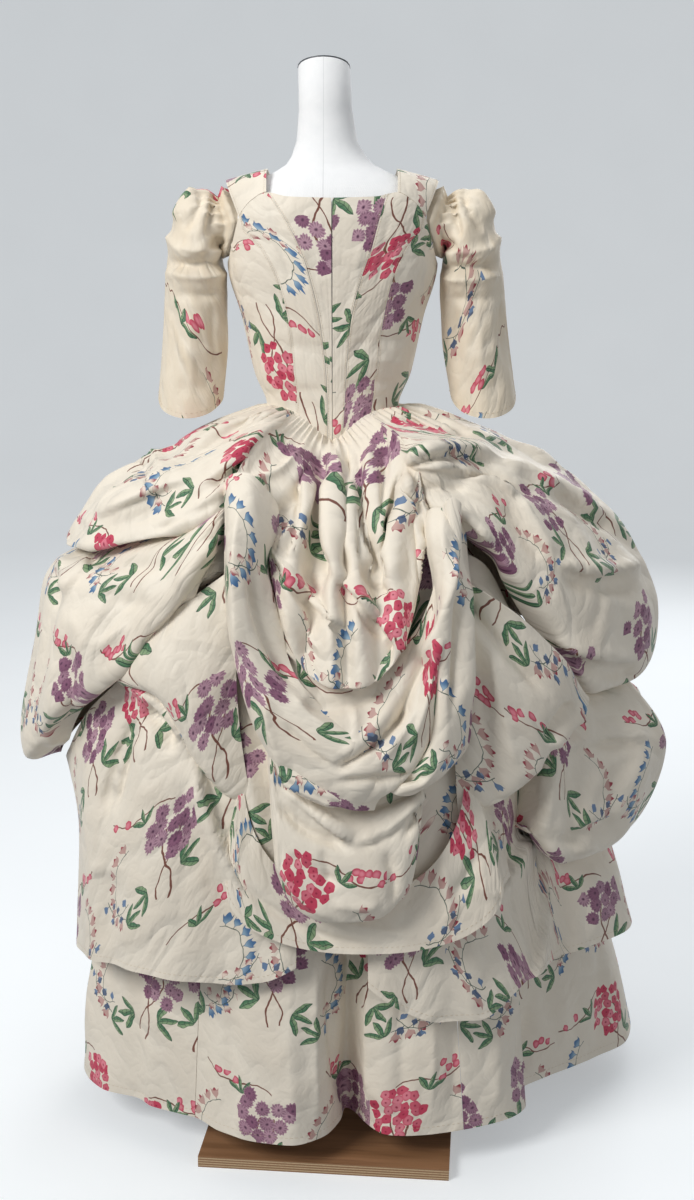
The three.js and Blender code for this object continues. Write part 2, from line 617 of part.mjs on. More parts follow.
// ---- materials ----
const silk = (color) => new THREE.MeshStandardMaterial({ color, roughness: 0.55, metalness: 0 });
const SILK = silk(0xded2be);
const SLEEVE_SILK = silk(0xdecaac);
const WHITE_FORM = new THREE.MeshStandardMaterial({ color: 0xf1f1ee, roughness: 0.6, metalness: 0 });
const DARK_DISC = new THREE.MeshStandardMaterial({ color: 0x2a2c30, roughness: 0.5, metalness: 0 });
const STEEL = new THREE.MeshStandardMaterial({ color: 0xb9bcbf, roughness: 0.35, metalness: 0.8 });
const PLYWOOD = new THREE.MeshStandardMaterial({ color: 0x8a6644, roughness: 0.5, metalness: 0 });

// ---- assembly ----
const robe = new THREE.Group();

function add(name, geometry, material) {
  const mesh = new THREE.Mesh(geometry, material);
  mesh.name = name;
  robe.add(mesh);
  return mesh;
}

for (const side of ['left', 'right']) {
  const sign = side === 'left' ? -1 : 1;
  const cap = side === 'left' ? 'Left' : 'Right';
  const inner = seamAzimuth(`inner${cap}`, sign);
  const outer = seamAzimuth(`outer${cap}`, sign);
  const piece = (from, to, nu, nv) => wall(bodicePiece(from, to), { nu, nv, inwards: -sign });
  add(`bodice_centre_back_${side}`, piece(fixed(0), inner, 3, 9), SILK);
  add(`bodice_side_back_${side}`, piece(inner, outer, 4, 9), SILK);
  add(`bodice_side_${side}`, piece(outer, fixed(sign * 92), 4, 9), SILK);
  add(`bodice_front_${side}`, piece(fixed(sign * 92), fixed(sign * 180), 7, 9), SILK);
  add(`shoulder_strap_${side}`, wall(strap(sign), { nu: 3, nv: 10, inwards: -sign }), SILK);
  add(`sleeve_${side}`, wall(sleeve(sign, SLEEVE_SWING[side]),
    { nu: 24, nv: 9, closed: true, inwards: sign }), SLEEVE_SILK);
  const width = (part, nu, nv) => wall(sideWidth(side, part), { nu, nv, inwards: sign });
  add(`overskirt_side_${side}_upper_puff`, width('upper', 30, 11), SILK);
  add(`overskirt_side_${side}_lower_puff`, width('lower', 16, 8), SILK);
  add(`overskirt_side_${side}_hem`, width('panel', 16, 4), SILK);
}

const centre = (part, nu, nv) => wall(centreWidth(part), { nu, nv, inwards: 1 });
add('overskirt_centre_pouf', centre('pouf', 24, 14), SILK);
add('overskirt_centre_swag', centre('swag', 18, 7), SILK);
add('overskirt_centre_tail', centre('tail', 14, 7), SILK);
add('overskirt_centre_hem', centre('hem', 14, 3), SILK);

const WIDTHS = table(['name', 'from', 'to', 'columns'], [
  ['petticoat_centre_back', -44, 38, 26],
  ['petticoat_side_right', 38, 150, 16],
  ['petticoat_front', FRONT_WIDTH_EDGE, 360 - FRONT_WIDTH_EDGE, 8],
  ['petticoat_side_left', -150, -44, 14],
]);
for (const width of WIDTHS) {
  add(width.name, wall(petticoatWidth(width.from, width.to),
    { nu: width.columns, nv: PETTICOAT_ROWS.length - 1, inwards: 1 }), SILK);
}

add('form_torso', torso(), WHITE_FORM);

const disc = new THREE.CylinderGeometry(NECK_DISC.radius, NECK_DISC.radius, NECK_DISC.thick, 28)
  .rotateX(Math.PI / 2 - Math.atan(NECK_TILT));
add('form_neck_disc', disc, DARK_DISC).position.set(NECK_DISC.x, NECK_DISC.y, NECK_TOP + NECK_DISC.thick);

const poleLength = FORM_HIP - BOARD.thick - 2 * STAND_GAP;
const pole = new THREE.CylinderGeometry(POLE_RADIUS, POLE_RADIUS, poleLength, 16).rotateX(Math.PI / 2);
add('form_pole', pole, STEEL).position.set(0, 0, BOARD.thick + STAND_GAP + poleLength / 2);

const board = new THREE.BoxGeometry(BOARD.width, BOARD.depth, BOARD.thick);
const base = add('base_board', board, PLYWOOD);
base.position.set(BOARD.x, BOARD.y, BOARD.thick / 2);
base.rotation.z = rad(BOARD.yaw);

for (const mesh of robe.children) {
  const geometry = mesh.geometry;
  geometry.deleteAttribute('normal');
  geometry.deleteAttribute('uv');
  mesh.geometry = mergeVertices(geometry, 1e-4);
  mesh.geometry.computeVertexNormals();
}

export default robe;
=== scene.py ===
# %% [markdown]
# # A robe a la polonaise, as its maker would take it apart
#
# The gown is painted silk: a fitted bodice, two sleeves, and a skirt drawn up at
# two points so that it hangs in puffs at the sides and in swags behind. It stands
# on a plain form over a matching petticoat. The construction is already fixed in a
# imported model, so the lesson starts by loading that model.

# %% Load the fixed frame
import math

import bpy
import numpy as np
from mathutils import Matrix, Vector


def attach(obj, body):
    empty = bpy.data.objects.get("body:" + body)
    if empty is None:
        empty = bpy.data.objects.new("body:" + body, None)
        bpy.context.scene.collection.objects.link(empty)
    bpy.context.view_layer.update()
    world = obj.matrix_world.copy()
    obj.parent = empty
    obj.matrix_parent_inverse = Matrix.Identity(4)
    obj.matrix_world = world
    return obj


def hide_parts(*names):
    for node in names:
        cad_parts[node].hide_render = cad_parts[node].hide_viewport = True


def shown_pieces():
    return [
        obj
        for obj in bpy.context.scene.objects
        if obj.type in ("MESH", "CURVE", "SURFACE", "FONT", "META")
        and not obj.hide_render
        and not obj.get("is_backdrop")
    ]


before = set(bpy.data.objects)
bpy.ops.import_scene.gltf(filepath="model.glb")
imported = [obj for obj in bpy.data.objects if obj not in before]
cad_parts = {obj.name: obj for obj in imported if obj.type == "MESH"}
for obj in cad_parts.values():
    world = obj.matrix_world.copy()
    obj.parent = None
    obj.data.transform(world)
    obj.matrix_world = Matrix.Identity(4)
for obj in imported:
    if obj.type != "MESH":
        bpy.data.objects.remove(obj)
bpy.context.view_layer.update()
MM = 0.001

# %% [markdown]
# ## The eye that looks at it
#
# The camera stands behind the wearer, a little above the waist, and looks down by
# twelve degrees. Its focal length is kept as a number of picture widths, because
# the main creases are later laid on the cloth where this eye sees them.

# %% Camera
FRAME_WIDE, FRAME_HIGH = 694, 1200
FOCAL = 1500  # in frame units
EYE = np.array([0.0206, -2.208, 1.26])
TILT = math.radians(12)
SENSOR = 36

camera_data = bpy.data.cameras.new("eye")
camera_data.sensor_fit = "VERTICAL"
camera_data.sensor_height = SENSOR
camera_data.lens = FOCAL / FRAME_HIGH * SENSOR
camera = bpy.data.objects.new("eye", camera_data)
camera.location = EYE
camera.rotation_euler = (math.pi / 2 - TILT, 0, 0)
bpy.context.collection.objects.link(camera)
bpy.context.scene.camera = camera


def placed(across, down, y):
    """The point that the eye sees at (across, down) and that lies at y millimetres."""
    reach = y * MM - EYE[1]
    drop = reach * np.tan(TILT + np.arctan((down - FRAME_HIGH / 2) / FOCAL))
    ahead = reach * math.cos(TILT) + drop * math.sin(TILT)
    return np.stack([EYE[0] + (across - FRAME_WIDE / 2) / FOCAL * ahead, y * MM, EYE[2] - drop], -1)


def seen(points):
    """Where the eye sees points, as distances across and down its frame."""
    offset = points - EYE
    ahead = offset[..., 1] * math.cos(TILT) - offset[..., 2] * math.sin(TILT)
    above = offset[..., 1] * math.sin(TILT) + offset[..., 2] * math.cos(TILT)
    across = FRAME_WIDE / 2 + FOCAL * offset[..., 0] / ahead
    down = FRAME_HIGH / 2 - FOCAL * above / ahead
    return across, down

# %% [markdown]
# ## Numbers into curves
#
# A dressmaker's measurements are a short table: one row for each section or fold.
# The helpers below run smooth lines through such rows, so a whole skirt comes from
# a few dozen measurements, the same ones as in the construction model.

# %% Tables and smooth lines
def numbers(text):
    """Rows of numbers, typed with a comma between rows."""
    return np.array([row.split() for row in text.split(",")], float)


def table(columns, text):
    return [dict(zip(columns.split(), row)) for row in numbers(text).tolist()]


class Profile:
    """Smooth monotone lines through every column of a table, along its first column."""

    def __init__(self, columns, text):
        rows = numbers(text)
        self.x = rows[:, 0]
        self.columns = dict(zip(columns.split(), rows.T))
        self.slopes = {name: self._slope(values) for name, values in self.columns.items()}

    def _slope(self, values):
        step = np.diff(values) / np.diff(self.x)
        before = np.concatenate([step[:1], step])
        after = np.concatenate([step, step[-1:]])
        same = before * after > 0
        slope = np.where(same, 2 * before * after / np.where(same, before + after, 1), 0)
        slope[0], slope[-1] = step[0], step[-1]
        return slope

    def __call__(self, value):
        value = np.clip(np.asarray(value, float), self.x[0], self.x[-1])
        i = np.clip(np.searchsorted(self.x, value, side="right") - 1, 0, len(self.x) - 2)
        span = self.x[i + 1] - self.x[i]
        t = (value - self.x[i]) / span
        result = {}
        for name, column in self.columns.items():
            rise_start, rise_end = self.slopes[name][i] * span, self.slopes[name][i + 1] * span
            result[name] = (
                (2 * t**3 - 3 * t**2 + 1) * column[i] + (t**3 - 2 * t**2 + t) * rise_start
                + (3 * t**2 - 2 * t**3) * column[i + 1] + (t**3 - t**2) * rise_end
            )
        return result


def through(points, t, closed=False):
    """A centripetal Catmull-Rom line through points, an array of (point, ..., 3)."""
    spans = len(points) if closed else len(points) - 1
    place = np.clip(t, 0, 1) * spans
    k = np.minimum(np.floor(place).astype(int), spans - 1)
    w = (place - k)[..., None]
    first, ring = -1, points
    if not closed:
        before, after = 2 * points[:1] - points[1:2], 2 * points[-1:] - points[-2:-1]
        first, ring = 0, np.concatenate([before, points, after])
    pick = lambda j: np.take_along_axis(ring, ((k + first + j) % len(ring))[None, ..., None], 0)[0]
    p0, p1, p2, p3 = (pick(j) for j in range(4))
    gap = lambda a, b: np.maximum(np.linalg.norm(b - a, axis=-1, keepdims=True) ** 0.5, 1e-4)
    d0, d1, d2 = gap(p0, p1), gap(p1, p2), gap(p2, p3)
    m1 = ((p1 - p0) / d0 - (p2 - p0) / (d0 + d1) + (p2 - p1) / d1) * d1
    m2 = ((p2 - p1) / d1 - (p3 - p1) / (d1 + d2) + (p3 - p2) / d2) * d1
    return p1 + m1 * w + (-3 * p1 + 3 * p2 - 2 * m1 - m2) * w**2 + (2 * p1 - 2 * p2 + m1 + m2) * w**3


def spot(x, y, z):
    return np.stack(np.broadcast_arrays(x, y, z), axis=-1).astype(float)


def polar(azimuth, out, z):
    a = np.radians(azimuth)
    return spot(out * np.sin(a), -out * np.cos(a), z)


def smooth(t):
    t = np.clip(t, 0, 1)
    return t * t * (3 - 2 * t)


def lerp(a, b, t):
    return a + (b - a) * t


def bump(x, centre, width):
    return np.exp(-(((x - centre) / width) ** 2))

# %% [markdown]
# ## A wall of cloth
#
# Cloth is drawn as a grid of outer points. A second grid lies inside it by the
# cloth's thickness, and narrow rims join the two, so every piece is one closed
# body. Doing this with arrays is quicker than a Solidify modifier and keeps the
# cloth's own measure in a UV map, in metres, which the painted sprays follow.

# %% Grid to mesh
CLOTH = 1.3 * MM  # silk with its lining
collection = bpy.context.collection


def even(nu, nv):
    """Even steps u across and v down a sheet."""
    return np.meshgrid(np.linspace(0, 1, nv + 1), np.linspace(0, 1, nu + 1), indexing="ij")[::-1]


def normals_of(grid, closed=False):
    across = np.roll(grid, -1, 1) - np.roll(grid, 1, 1) if closed else np.gradient(grid, axis=1)
    normal = np.cross(across, np.gradient(grid, axis=0))
    return normal / np.maximum(np.linalg.norm(normal, axis=-1, keepdims=True), 1e-12)


def run_length(grid, axis):
    """The length of the cloth from its first row or column to each point."""
    steps = np.cumsum(np.linalg.norm(np.diff(grid, axis=axis), axis=-1), axis=axis)
    return np.concatenate([np.zeros_like(steps.take([0], axis)), steps], axis)


def measure(grid, closed=False):
    """The cloth's own measure: metres along a row from its middle, metres down a column."""
    ring = np.concatenate([grid, grid[:, :1]], axis=1) if closed else grid
    across = run_length(ring, 1)
    across -= across[:, across.shape[1] // 2][:, None]
    return np.stack([across, -run_length(ring, 0)], -1)


def wall(name, outer, inwards, own_measure, closed=False):
    """A closed cloth mesh from outer points (rows, columns, 3), with its own measure as UV."""
    rows, columns = outer.shape[:2]
    inner = outer + normals_of(outer, closed) * inwards * CLOTH
    points = np.concatenate([outer.reshape(-1, 3), inner.reshape(-1, 3)])
    shift = rows * columns
    spans = columns if closed else columns - 1
    j, i = np.meshgrid(np.arange(rows - 1), np.arange(spans), indexing="ij")
    nxt = (i + 1) % columns
    a, b, c, d = j * columns + i, j * columns + nxt, (j + 1) * columns + nxt, (j + 1) * columns + i
    quads = lambda *corners: np.stack(corners, -1).reshape(-1, 4)
    rim = lambda start, end: quads(start, end, end + shift, start + shift)
    rims = [rim(a[0], b[0]), rim(c[-1], d[-1])]
    if not closed:
        rims += [rim(d[:, 0], a[:, 0]), rim(b[:, -1], c[:, -1])]
    faces = np.concatenate([quads(a, d, c, b), quads(a, b, c, d) + shift] + rims)
    if inwards > 0:
        faces = faces[:, ::-1]
    mesh = bpy.data.meshes.new(name)
    mesh.vertices.add(len(points))
    mesh.vertices.foreach_set("co", points.ravel())
    mesh.loops.add(faces.size)
    mesh.loops.foreach_set("vertex_index", faces.ravel().astype(np.int32))
    mesh.polygons.add(len(faces))
    mesh.polygons.foreach_set("loop_start", np.arange(0, faces.size, 4, dtype=np.int32))
    mesh.polygons.foreach_set("use_smooth", np.ones(len(faces), bool))
    mesh.update(calc_edges=True)
    row_of, column_of = (faces % shift) // columns, faces % columns
    if closed:  # the last faces end at the full width, not back at nought
        wraps = (column_of == 0).any(1) & (column_of == columns - 1).any(1)
        column_of = np.where(wraps[:, None] & (column_of == 0), columns, column_of)
    mesh.uv_layers.new(name="cloth").data.foreach_set("uv", own_measure[row_of, column_of].ravel())
    sharpen_rims(mesh, sum(len(part) for part in rims))
    mesh.validate()
    piece = bpy.data.objects.new(name, mesh)
    collection.objects.link(piece)
    return piece


def sharpen_rims(mesh, count):
    """Marks the edges between the rims, which are the last faces, and the cloth's two sides."""
    edges = np.empty(len(mesh.loops), np.int32)
    mesh.loops.foreach_get("edge_index", edges)
    touched = lambda faces: np.bincount(faces.ravel(), minlength=len(mesh.edges)) > 0
    edges = edges.reshape(-1, 4)
    sharp = mesh.attributes.new("sharp_edge", "BOOLEAN", "EDGE")
    sharp.data.foreach_set("value", touched(edges[:-count]) & touched(edges[-count:]))


def grid_of(shape, nu, nv, *extra):
    """A shape function's points in metres, on an even grid."""
    return shape(*even(nu, nv), *extra) * MM

# %% [markdown]
# ## Creases
#
# Silk taffeta is crisp: it breaks into long soft troughs with a sharper ridge beside
# them. Each crease is given as a short line that bends once. It has its own
# width and depth, and fades at both ends. Those the eye sees directly are laid in its
# frame; the rest are laid by azimuth and height, so that no side is left bare.

# %% Crease fields
CREASE = "ax ay bx by cx cy width depth"
CREASE_GAIN = 1.8
TROUGH_SHARP, RIDGE_SHARP = 1.7, 1.3  # powers of the bell across a crease
FADE = 0.22  # the share of its run over which a crease fades at either end
UNDER_LAP = 0.6  # depth and width of the hollow under a lap, as shares of the lap's own
LAP_EDGE = 5.0  # how wide the turn of a lap is
HIP_RADIUS = 330  # one degree round the skirt is taken at this distance


def creases(text):
    return table(CREASE, text)


def widened(row, factor):
    """The same crease with its places across multiplied."""
    return dict(row, **{key: row[key] * factor for key in ("ax", "bx", "cx")})


def line_field(x, y, row, steps=10):
    """How far points lie from a line bent at b from a to c, on which side, and how far along."""
    t = np.linspace(0, 1, steps + 1)
    bent = lambda a, b, c: (1 - t) ** 2 * row[a] + 2 * t * (1 - t) * row[b] + t**2 * row[c]
    lx, ly = bent("ax", "bx", "cx"), bent("ay", "by", "cy")
    best = np.full(x.shape, 1e9)
    along, side = np.zeros(x.shape), np.ones(x.shape)
    for k in range(steps):
        dx, dy = lx[k + 1] - lx[k], ly[k + 1] - ly[k]
        w = ((x - lx[k]) * dx + (y - ly[k]) * dy) / max(dx * dx + dy * dy, 1e-9)
        w = np.clip(w, 0, 1)
        far = np.hypot(x - lx[k] - w * dx, y - ly[k] - w * dy)
        closer = far < best
        best = np.where(closer, far, best)
        along = np.where(closer, (k + w) / steps, along)
        side = np.where(closer, np.sign(dx * (y - ly[k]) - dy * (x - lx[k])), side)
    return best, side, along


def fold_push(x, y, row, lap=False):
    """A soft crease, or a lap: the left hand side of the line lies over the other."""
    far, side, along = line_field(x, y, row)
    fade = smooth(along / FADE) * smooth((1 - along) / FADE) * 0.9 + 0.1
    near = np.exp(-((far / row["width"]) ** (TROUGH_SHARP if row["depth"] < 0 else RIDGE_SHARP)))
    if lap:
        under = -UNDER_LAP * np.exp(-((far / (UNDER_LAP * row["width"])) ** 2))
        return row["depth"] * fade * lerp(under, near, smooth(0.5 - side * far / LAP_EDGE))
    return row["depth"] * fade * near * CREASE_GAIN


def crease_seen(grid, rows, closed=False, inwards=1, lap=False):
    """Presses creases into a grid where the eye sees them, in millimetres, out being positive."""
    normal = -normals_of(grid, closed) * inwards
    across, down = seen(grid)
    sight = EYE - grid
    facing = smooth((sight * normal).sum(-1) / np.linalg.norm(sight, axis=-1) * 4 + 0.4)
    push = sum(fold_push(across, down, row, lap) for row in rows)
    return grid + normal * (push * facing * MM)[..., None]


def crease_round(grid, rows, closed, inwards):
    """The same for creases laid by azimuth in degrees and height in millimetres."""
    normal = -normals_of(grid, closed) * inwards
    azimuth = np.degrees(np.arctan2(grid[..., 0], -grid[..., 1]))
    scale = math.radians(1) * HIP_RADIUS
    push = sum(fold_push(azimuth * scale, grid[..., 2] / MM, widened(row, scale)) for row in rows)
    return grid + normal * (push * MM)[..., None]


def ripples(u, v, seed, count=7, reach=(3, 9), lean=2.0):
    """A gentle unevenness of cloth: a few long waves, drawn from one seed."""
    rng = np.random.default_rng(seed)
    total = np.zeros(u.shape)
    for _ in range(count):
        a, b = rng.uniform(*reach), rng.uniform(-lean, lean)
        total += np.sin(2 * math.pi * (a * u + b * v) + rng.uniform(0, 6.28)) * rng.uniform(0.4, 1)
    return total / count

# %% [markdown]
# ## The figure
#
# The bodice fits a figure given as level sections: half width, depth behind and in
# front, and how square the section is. Everything that touches the body asks this
# one table, so the waist seam, the neckline and the petticoat's top all agree.

# %% Figure, waist seam, neckline
SEAM = 0.35  # millimetres between neighbouring pieces
WAIST_LAP = 2.5  # the bodice covers the top of the skirt by this much
WAIST_SIDE, WAIST_POINT_DROP, WAIST_POINT_WIDTH, WAIST_FRONT_DROP = 1083, 42, 34, 14
FIGURE = Profile("z halfWidth back front square middle", """
    860 124 112 104 2.2 0, 940 118 108 100 2.2 0, 1030 98 96 89 2.3 0, 1083 96 96 88 2.3 0,
    1130 113 101 94 2.3 0, 1210 131 107 106 2.3 0, 1283 150 111 105 2.4 0,
    1345 151 107 86 2.4 0, 1375 144 99 69 2.4 0, 1396 120 83 56 2.3 0, 1412 86 67 50 2.2 -2,
    1432 58 50 53 2.1 -5, 1455 47 35 58 2 -8, 1500 40 20 60 2 -10, 1555 37 7 67 2 -12""")
BODICE_TOP = Profile("azimuth z", """
    0 1371, 20 1373, 35 1379, 46 1368, 56 1346, 66 1312, 78 1289, 90 1283, 104 1290, 116 1312,
    124 1340, 132 1350, 140 1354, 150 1312, 165 1276, 180 1268""")
BACK_SEAMS = Profile("z innerLeft innerRight outerLeft outerRight", """
    1030 7 13 44 48, 1083 7 17 49 55, 1120 8 19 52 60, 1200 16 25 60 70, 1260 29 39 74 83,
    1300 42 53 94 99, 1340 62 64 124 125, 1380 88 76 128 128""")


def signed_power(value, power):
    return np.sign(value) * np.abs(value) ** power


def figure(azimuth, z, grow=0.0):
    row = FIGURE(z)
    power = 2 / row["square"]
    half = (row["back"] + row["front"]) / 2
    a = np.radians(azimuth)
    x = row["middle"] + (row["halfWidth"] + grow) * signed_power(np.sin(a), power)
    y = (row["front"] - row["back"]) / 2 - (half + grow) * signed_power(np.cos(a), power)
    return spot(x, y, z)


def azimuth_at(x, z):
    row = FIGURE(z)
    s = np.clip(np.abs(x) / row["halfWidth"], 0, 1) ** (row["square"] / 2)
    return np.degrees(np.sign(x) * np.arcsin(s))


def waist(azimuth):
    x = figure(azimuth, WAIST_SIDE)[..., 0]
    front = np.abs(azimuth) > 90
    drop = np.where(front, WAIST_FRONT_DROP, WAIST_POINT_DROP)
    width = np.where(front, 2, 1) * WAIST_POINT_WIDTH
    return WAIST_SIDE - drop * np.exp(-(np.abs(x / width) ** 1.6))

# %% [markdown]
# ## Bodice and straps
#
# Six panels a side meet at the centre back, the curved back seams and under the arm.
# Each is found by walking from one seam to the next at every height. Shoulder straps
# close the armholes. The silk is pulled a little between its seams, so each panel
# carries faint strain lines rather than folds.

# %% Bodice shapes
BODICE_RADIUS = 100


def bodice_piece(u, v, begin, end):
    z = lerp(WAIST_SIDE, 1300, v)
    for _ in range(8):  # the seams and the height depend on each other
        a, b = begin(z), end(z)
        inset = np.degrees(SEAM / 2 / BODICE_RADIUS) * np.sign(b - a)
        azimuth = lerp(a + inset, b - inset, u)
        z = lerp(waist(azimuth) - WAIST_LAP, BODICE_TOP(np.abs(azimuth))["z"], v)
    return figure(azimuth, z, 0.6 * np.maximum(0, 1 - v / 0.06))


def seam_azimuth(name, sign):
    return lambda z: sign * azimuth_at(BACK_SEAMS(z)[name], z)


def fixed(azimuth):
    return lambda z: np.full(np.shape(z), float(azimuth))


# where the two long edges of a strap run
NECK_SIDE = dict(back=36, front=139, ridgeX=91, ridgeZ=1414, quarterX=91)
ARM_SIDE = dict(back=56, front=124, ridgeX=150, ridgeZ=1400, quarterX=146)


def strap(u, v, sign):
    across = {name: lerp(NECK_SIDE[name], ARM_SIDE[name], u) for name in NECK_SIDE}
    seam = lambda end: figure(across[end], BODICE_TOP(across[end])["z"] + 3 * SEAM)
    back, front = seam("back"), seam("front")
    ridge = spot(across["ridgeX"], -4, across["ridgeZ"])
    quarter = lambda end: spot(across["quarterX"], lerp(end[..., 1], ridge[..., 1], 0.34),
                               lerp(end[..., 2], ridge[..., 2], 0.76) + 2)
    p = through(np.stack([back, quarter(back), ridge, quarter(front), front]), v)
    p[..., 0] *= sign
    return p

# %% [markdown]
# ## Sleeves
#
# The sleeve is cut with more cloth than the armhole takes. The spare cloth is pleated
# over the top of the arm and lets go into a soft puff above the elbow line. At the
# elbow's crease the cloth breaks all the way round.

# %% Sleeve shapes
ARMHOLE_BACK = [(90, 1284), (70, 1301), (57, 1341)]
ARMHOLE_TOP = [(151, -40, 1386), (157, -4, 1398), (151, 32, 1384)]
ARMHOLE_FRONT = [(123, 1338), (108, 1298)]
SLEEVE_RINGS = table("innerX innerZ outerX outerZ halfDepth", """
    152 1279 180 1402 69, 153 1270 201 1390 68, 153 1258 221 1362 62, 152 1240 231 1322 55,
    152 1212 239 1270 50, 152 1169 245 1192 47, 160 1098 255 1096 46""")
SLEEVE_SWING = {"left": 0, "right": 12}  # millimetres outwards at the hem
SLEEVE_GROW = 3.4  # the armhole stands this far off the bodice
SLEEVE_HEART = np.array([170.0, -2.0, 1320.0])  # pleats stand out from here
PLEAT_GAIN = 1.3
ELBOW_SLANT = 0.62
# pleats over the top of the arm: place round the armhole, width, height, how far down they reach
SLEEVE_PLEATS = table("at width height reach", """
    0.26 0.018 5 0.26, 0.31 0.016 7 0.34, 0.355 0.014 8 0.40, 0.40 0.014 7 0.34,
    0.445 0.013 9 0.46, 0.49 0.014 8 0.36, 0.535 0.014 8 0.42, 0.585 0.015 8 0.34,
    0.64 0.017 7 0.32, 0.70 0.019 5 0.26""")


def sleeve(u, v, sign, swing):
    on_body = lambda half: [figure(*corner, SLEEVE_GROW) for corner in half]
    back, front = on_body(ARMHOLE_BACK), on_body(ARMHOLE_FRONT)
    corners = np.array(back + [spot(*corner) for corner in ARMHOLE_TOP] + front)
    corners = np.broadcast_to(corners[:, None, None], (len(corners), *u.shape, 3))
    rings = [through(corners, u % 1, closed=True)]
    turn = 2 * math.pi * u
    for number, row in enumerate(SLEEVE_RINGS):
        out = swing * max(0, 1280 - row["innerZ"]) / 180
        part = (1 - np.cos(turn)) / 2
        y = -2 - row["halfDepth"] * np.sin(turn)
        z = lerp(row["innerZ"], row["outerZ"], part)
        if number == len(SLEEVE_RINGS) - 1:
            z = z + ELBOW_SLANT * y
        rings.append(spot(lerp(row["innerX"], row["outerX"], part) + out, y, z))
    p = through(np.stack(rings), v)
    outward = p - SLEEVE_HEART
    outward /= np.linalg.norm(outward, axis=-1, keepdims=True)
    pleat = 0
    for row in SLEEVE_PLEATS:
        down = np.maximum(0, 1 - v / row["reach"]) ** 0.8 * np.minimum(1, v * 30 + 0.25)
        spread = row["at"] + (u - row["at"]) / (1 + 1.6 * v)
        ridge = bump(spread, row["at"], row["width"]) - 0.35
        pleat = pleat + PLEAT_GAIN * row["height"] * down * ridge
    p = p + outward * pleat[..., None]
    p[..., 0] *= sign
    return p

# %% [markdown]
# ## The drawn-up skirt
#
# The skirt is long, and is taken up inside at two points behind the hips. Each side
# width therefore falls from the waist, swells, rolls under and comes out again lower
# down, twice, before its hem hangs free. The tables hold those folds as distances
# out and heights at a few azimuths. The centre back is a set of rows that hang as
# loops between the two points: the pouf, the swag, the tail and the centre hem.

# %% Skirt tables
OUT_FOLDS = "azimuth crownOut crownZ bulgeOut bulgeZ bellyOut bellyZ rollOut rollZ tuckOut tuckZ"
UPPER = {
    "left": Profile(OUT_FOLDS, """
        31 150 1068 205 1046 244 1006 268 956 246 950,
        38 160 1064 225 1036 272 990 296 940 270 938,
        45 170 1060 245 1026 292 984 318 928 290 934,
        60 180 1055 280 1006 335 960 362 906 330 916,
        80 188 1052 300 985 360 935 392 888 352 897,
        100 184 1048 290 985 342 935 374 888 336 897,
        125 165 1038 240 985 285 935 308 888 276 897,
        150 148 1026 205 975 240 928 262 880 236 888"""),
    "right": Profile(OUT_FOLDS, """
        29 150 1068 208 1046 244 1012 256 976 238 968,
        45 176 1060 262 1022 320 955 330 893 298 896,
        58 188 1056 310 990 375 880 378 765 342 770,
        66 192 1055 335 972 412 845 408 692 366 700,
        85 196 1052 385 940 474 800 466 700 424 707,
        105 188 1046 350 945 430 815 424 712 384 719,
        130 170 1036 285 950 344 835 342 735 304 742,
        150 148 1026 238 945 285 845 284 752 252 758"""),
}
IN_FOLDS = "azimuth shoulderOut shoulderZ bellyOut bellyZ rollOut rollZ tuckOut tuckZ"
LOWER = {
    "left": Profile(IN_FOLDS, """
        31 264 968 284 930 292 882 270 884, 40 306 930 338 885 345 822 315 826,
        54 348 890 378 822 380 738 345 743, 66 384 870 418 780 426 665 384 669,
        84 412 850 438 745 466 562 412 568, 105 392 850 420 750 430 598 384 604,
        130 322 850 352 775 350 655 312 661, 150 274 845 300 790 300 712 266 718"""),
    "right": Profile(IN_FOLDS, """
        53 340 790 356 670 352 500 338 508, 60 372 720 396 600 384 448 352 458,
        70 408 668 444 580 418 450 376 460, 85 452 668 498 590 450 462 406 472,
        105 418 680 460 605 426 490 384 500, 130 342 704 378 640 360 540 324 549,
        150 292 722 322 680 312 600 286 609"""),
}
HANGING = "azimuth topOut topZ bellyOut bellyZ hemOut hemZ"
PANEL = {
    "left": Profile(HANGING, """
        10 232 905 262 620 284 330, 20 244 900 284 620 297 305, 31 262 878 302 600 314 298,
        40 309 821 332 580 346 304, 54 340 738 368 560 372 300, 66 379 664 393 520 392 284,
        84 405 561 386 450 396 268, 105 379 597 384 450 396 265, 130 307 656 342 470 352 280,
        150 261 713 302 500 322 300"""),
    "right": Profile(HANGING, """
        10 232 896 264 640 284 300, 20 240 908 284 630 302 262, 29 241 946 296 620 318 244,
        38 268 908 310 600 334 242, 45 290 886 318 580 344 258, 53 314 790 320 560 352 282,
        60 326 600 328 470 368 290, 66 350 450 368 390 392 296, 85 398 464 432 400 462 300,
        105 376 492 420 410 456 292, 130 316 541 346 440 378 290, 150 278 601 302 470 326 306"""),
}
FRONT_EDGE = 150
BACK_EDGE = {"left": 31, "right": 29}

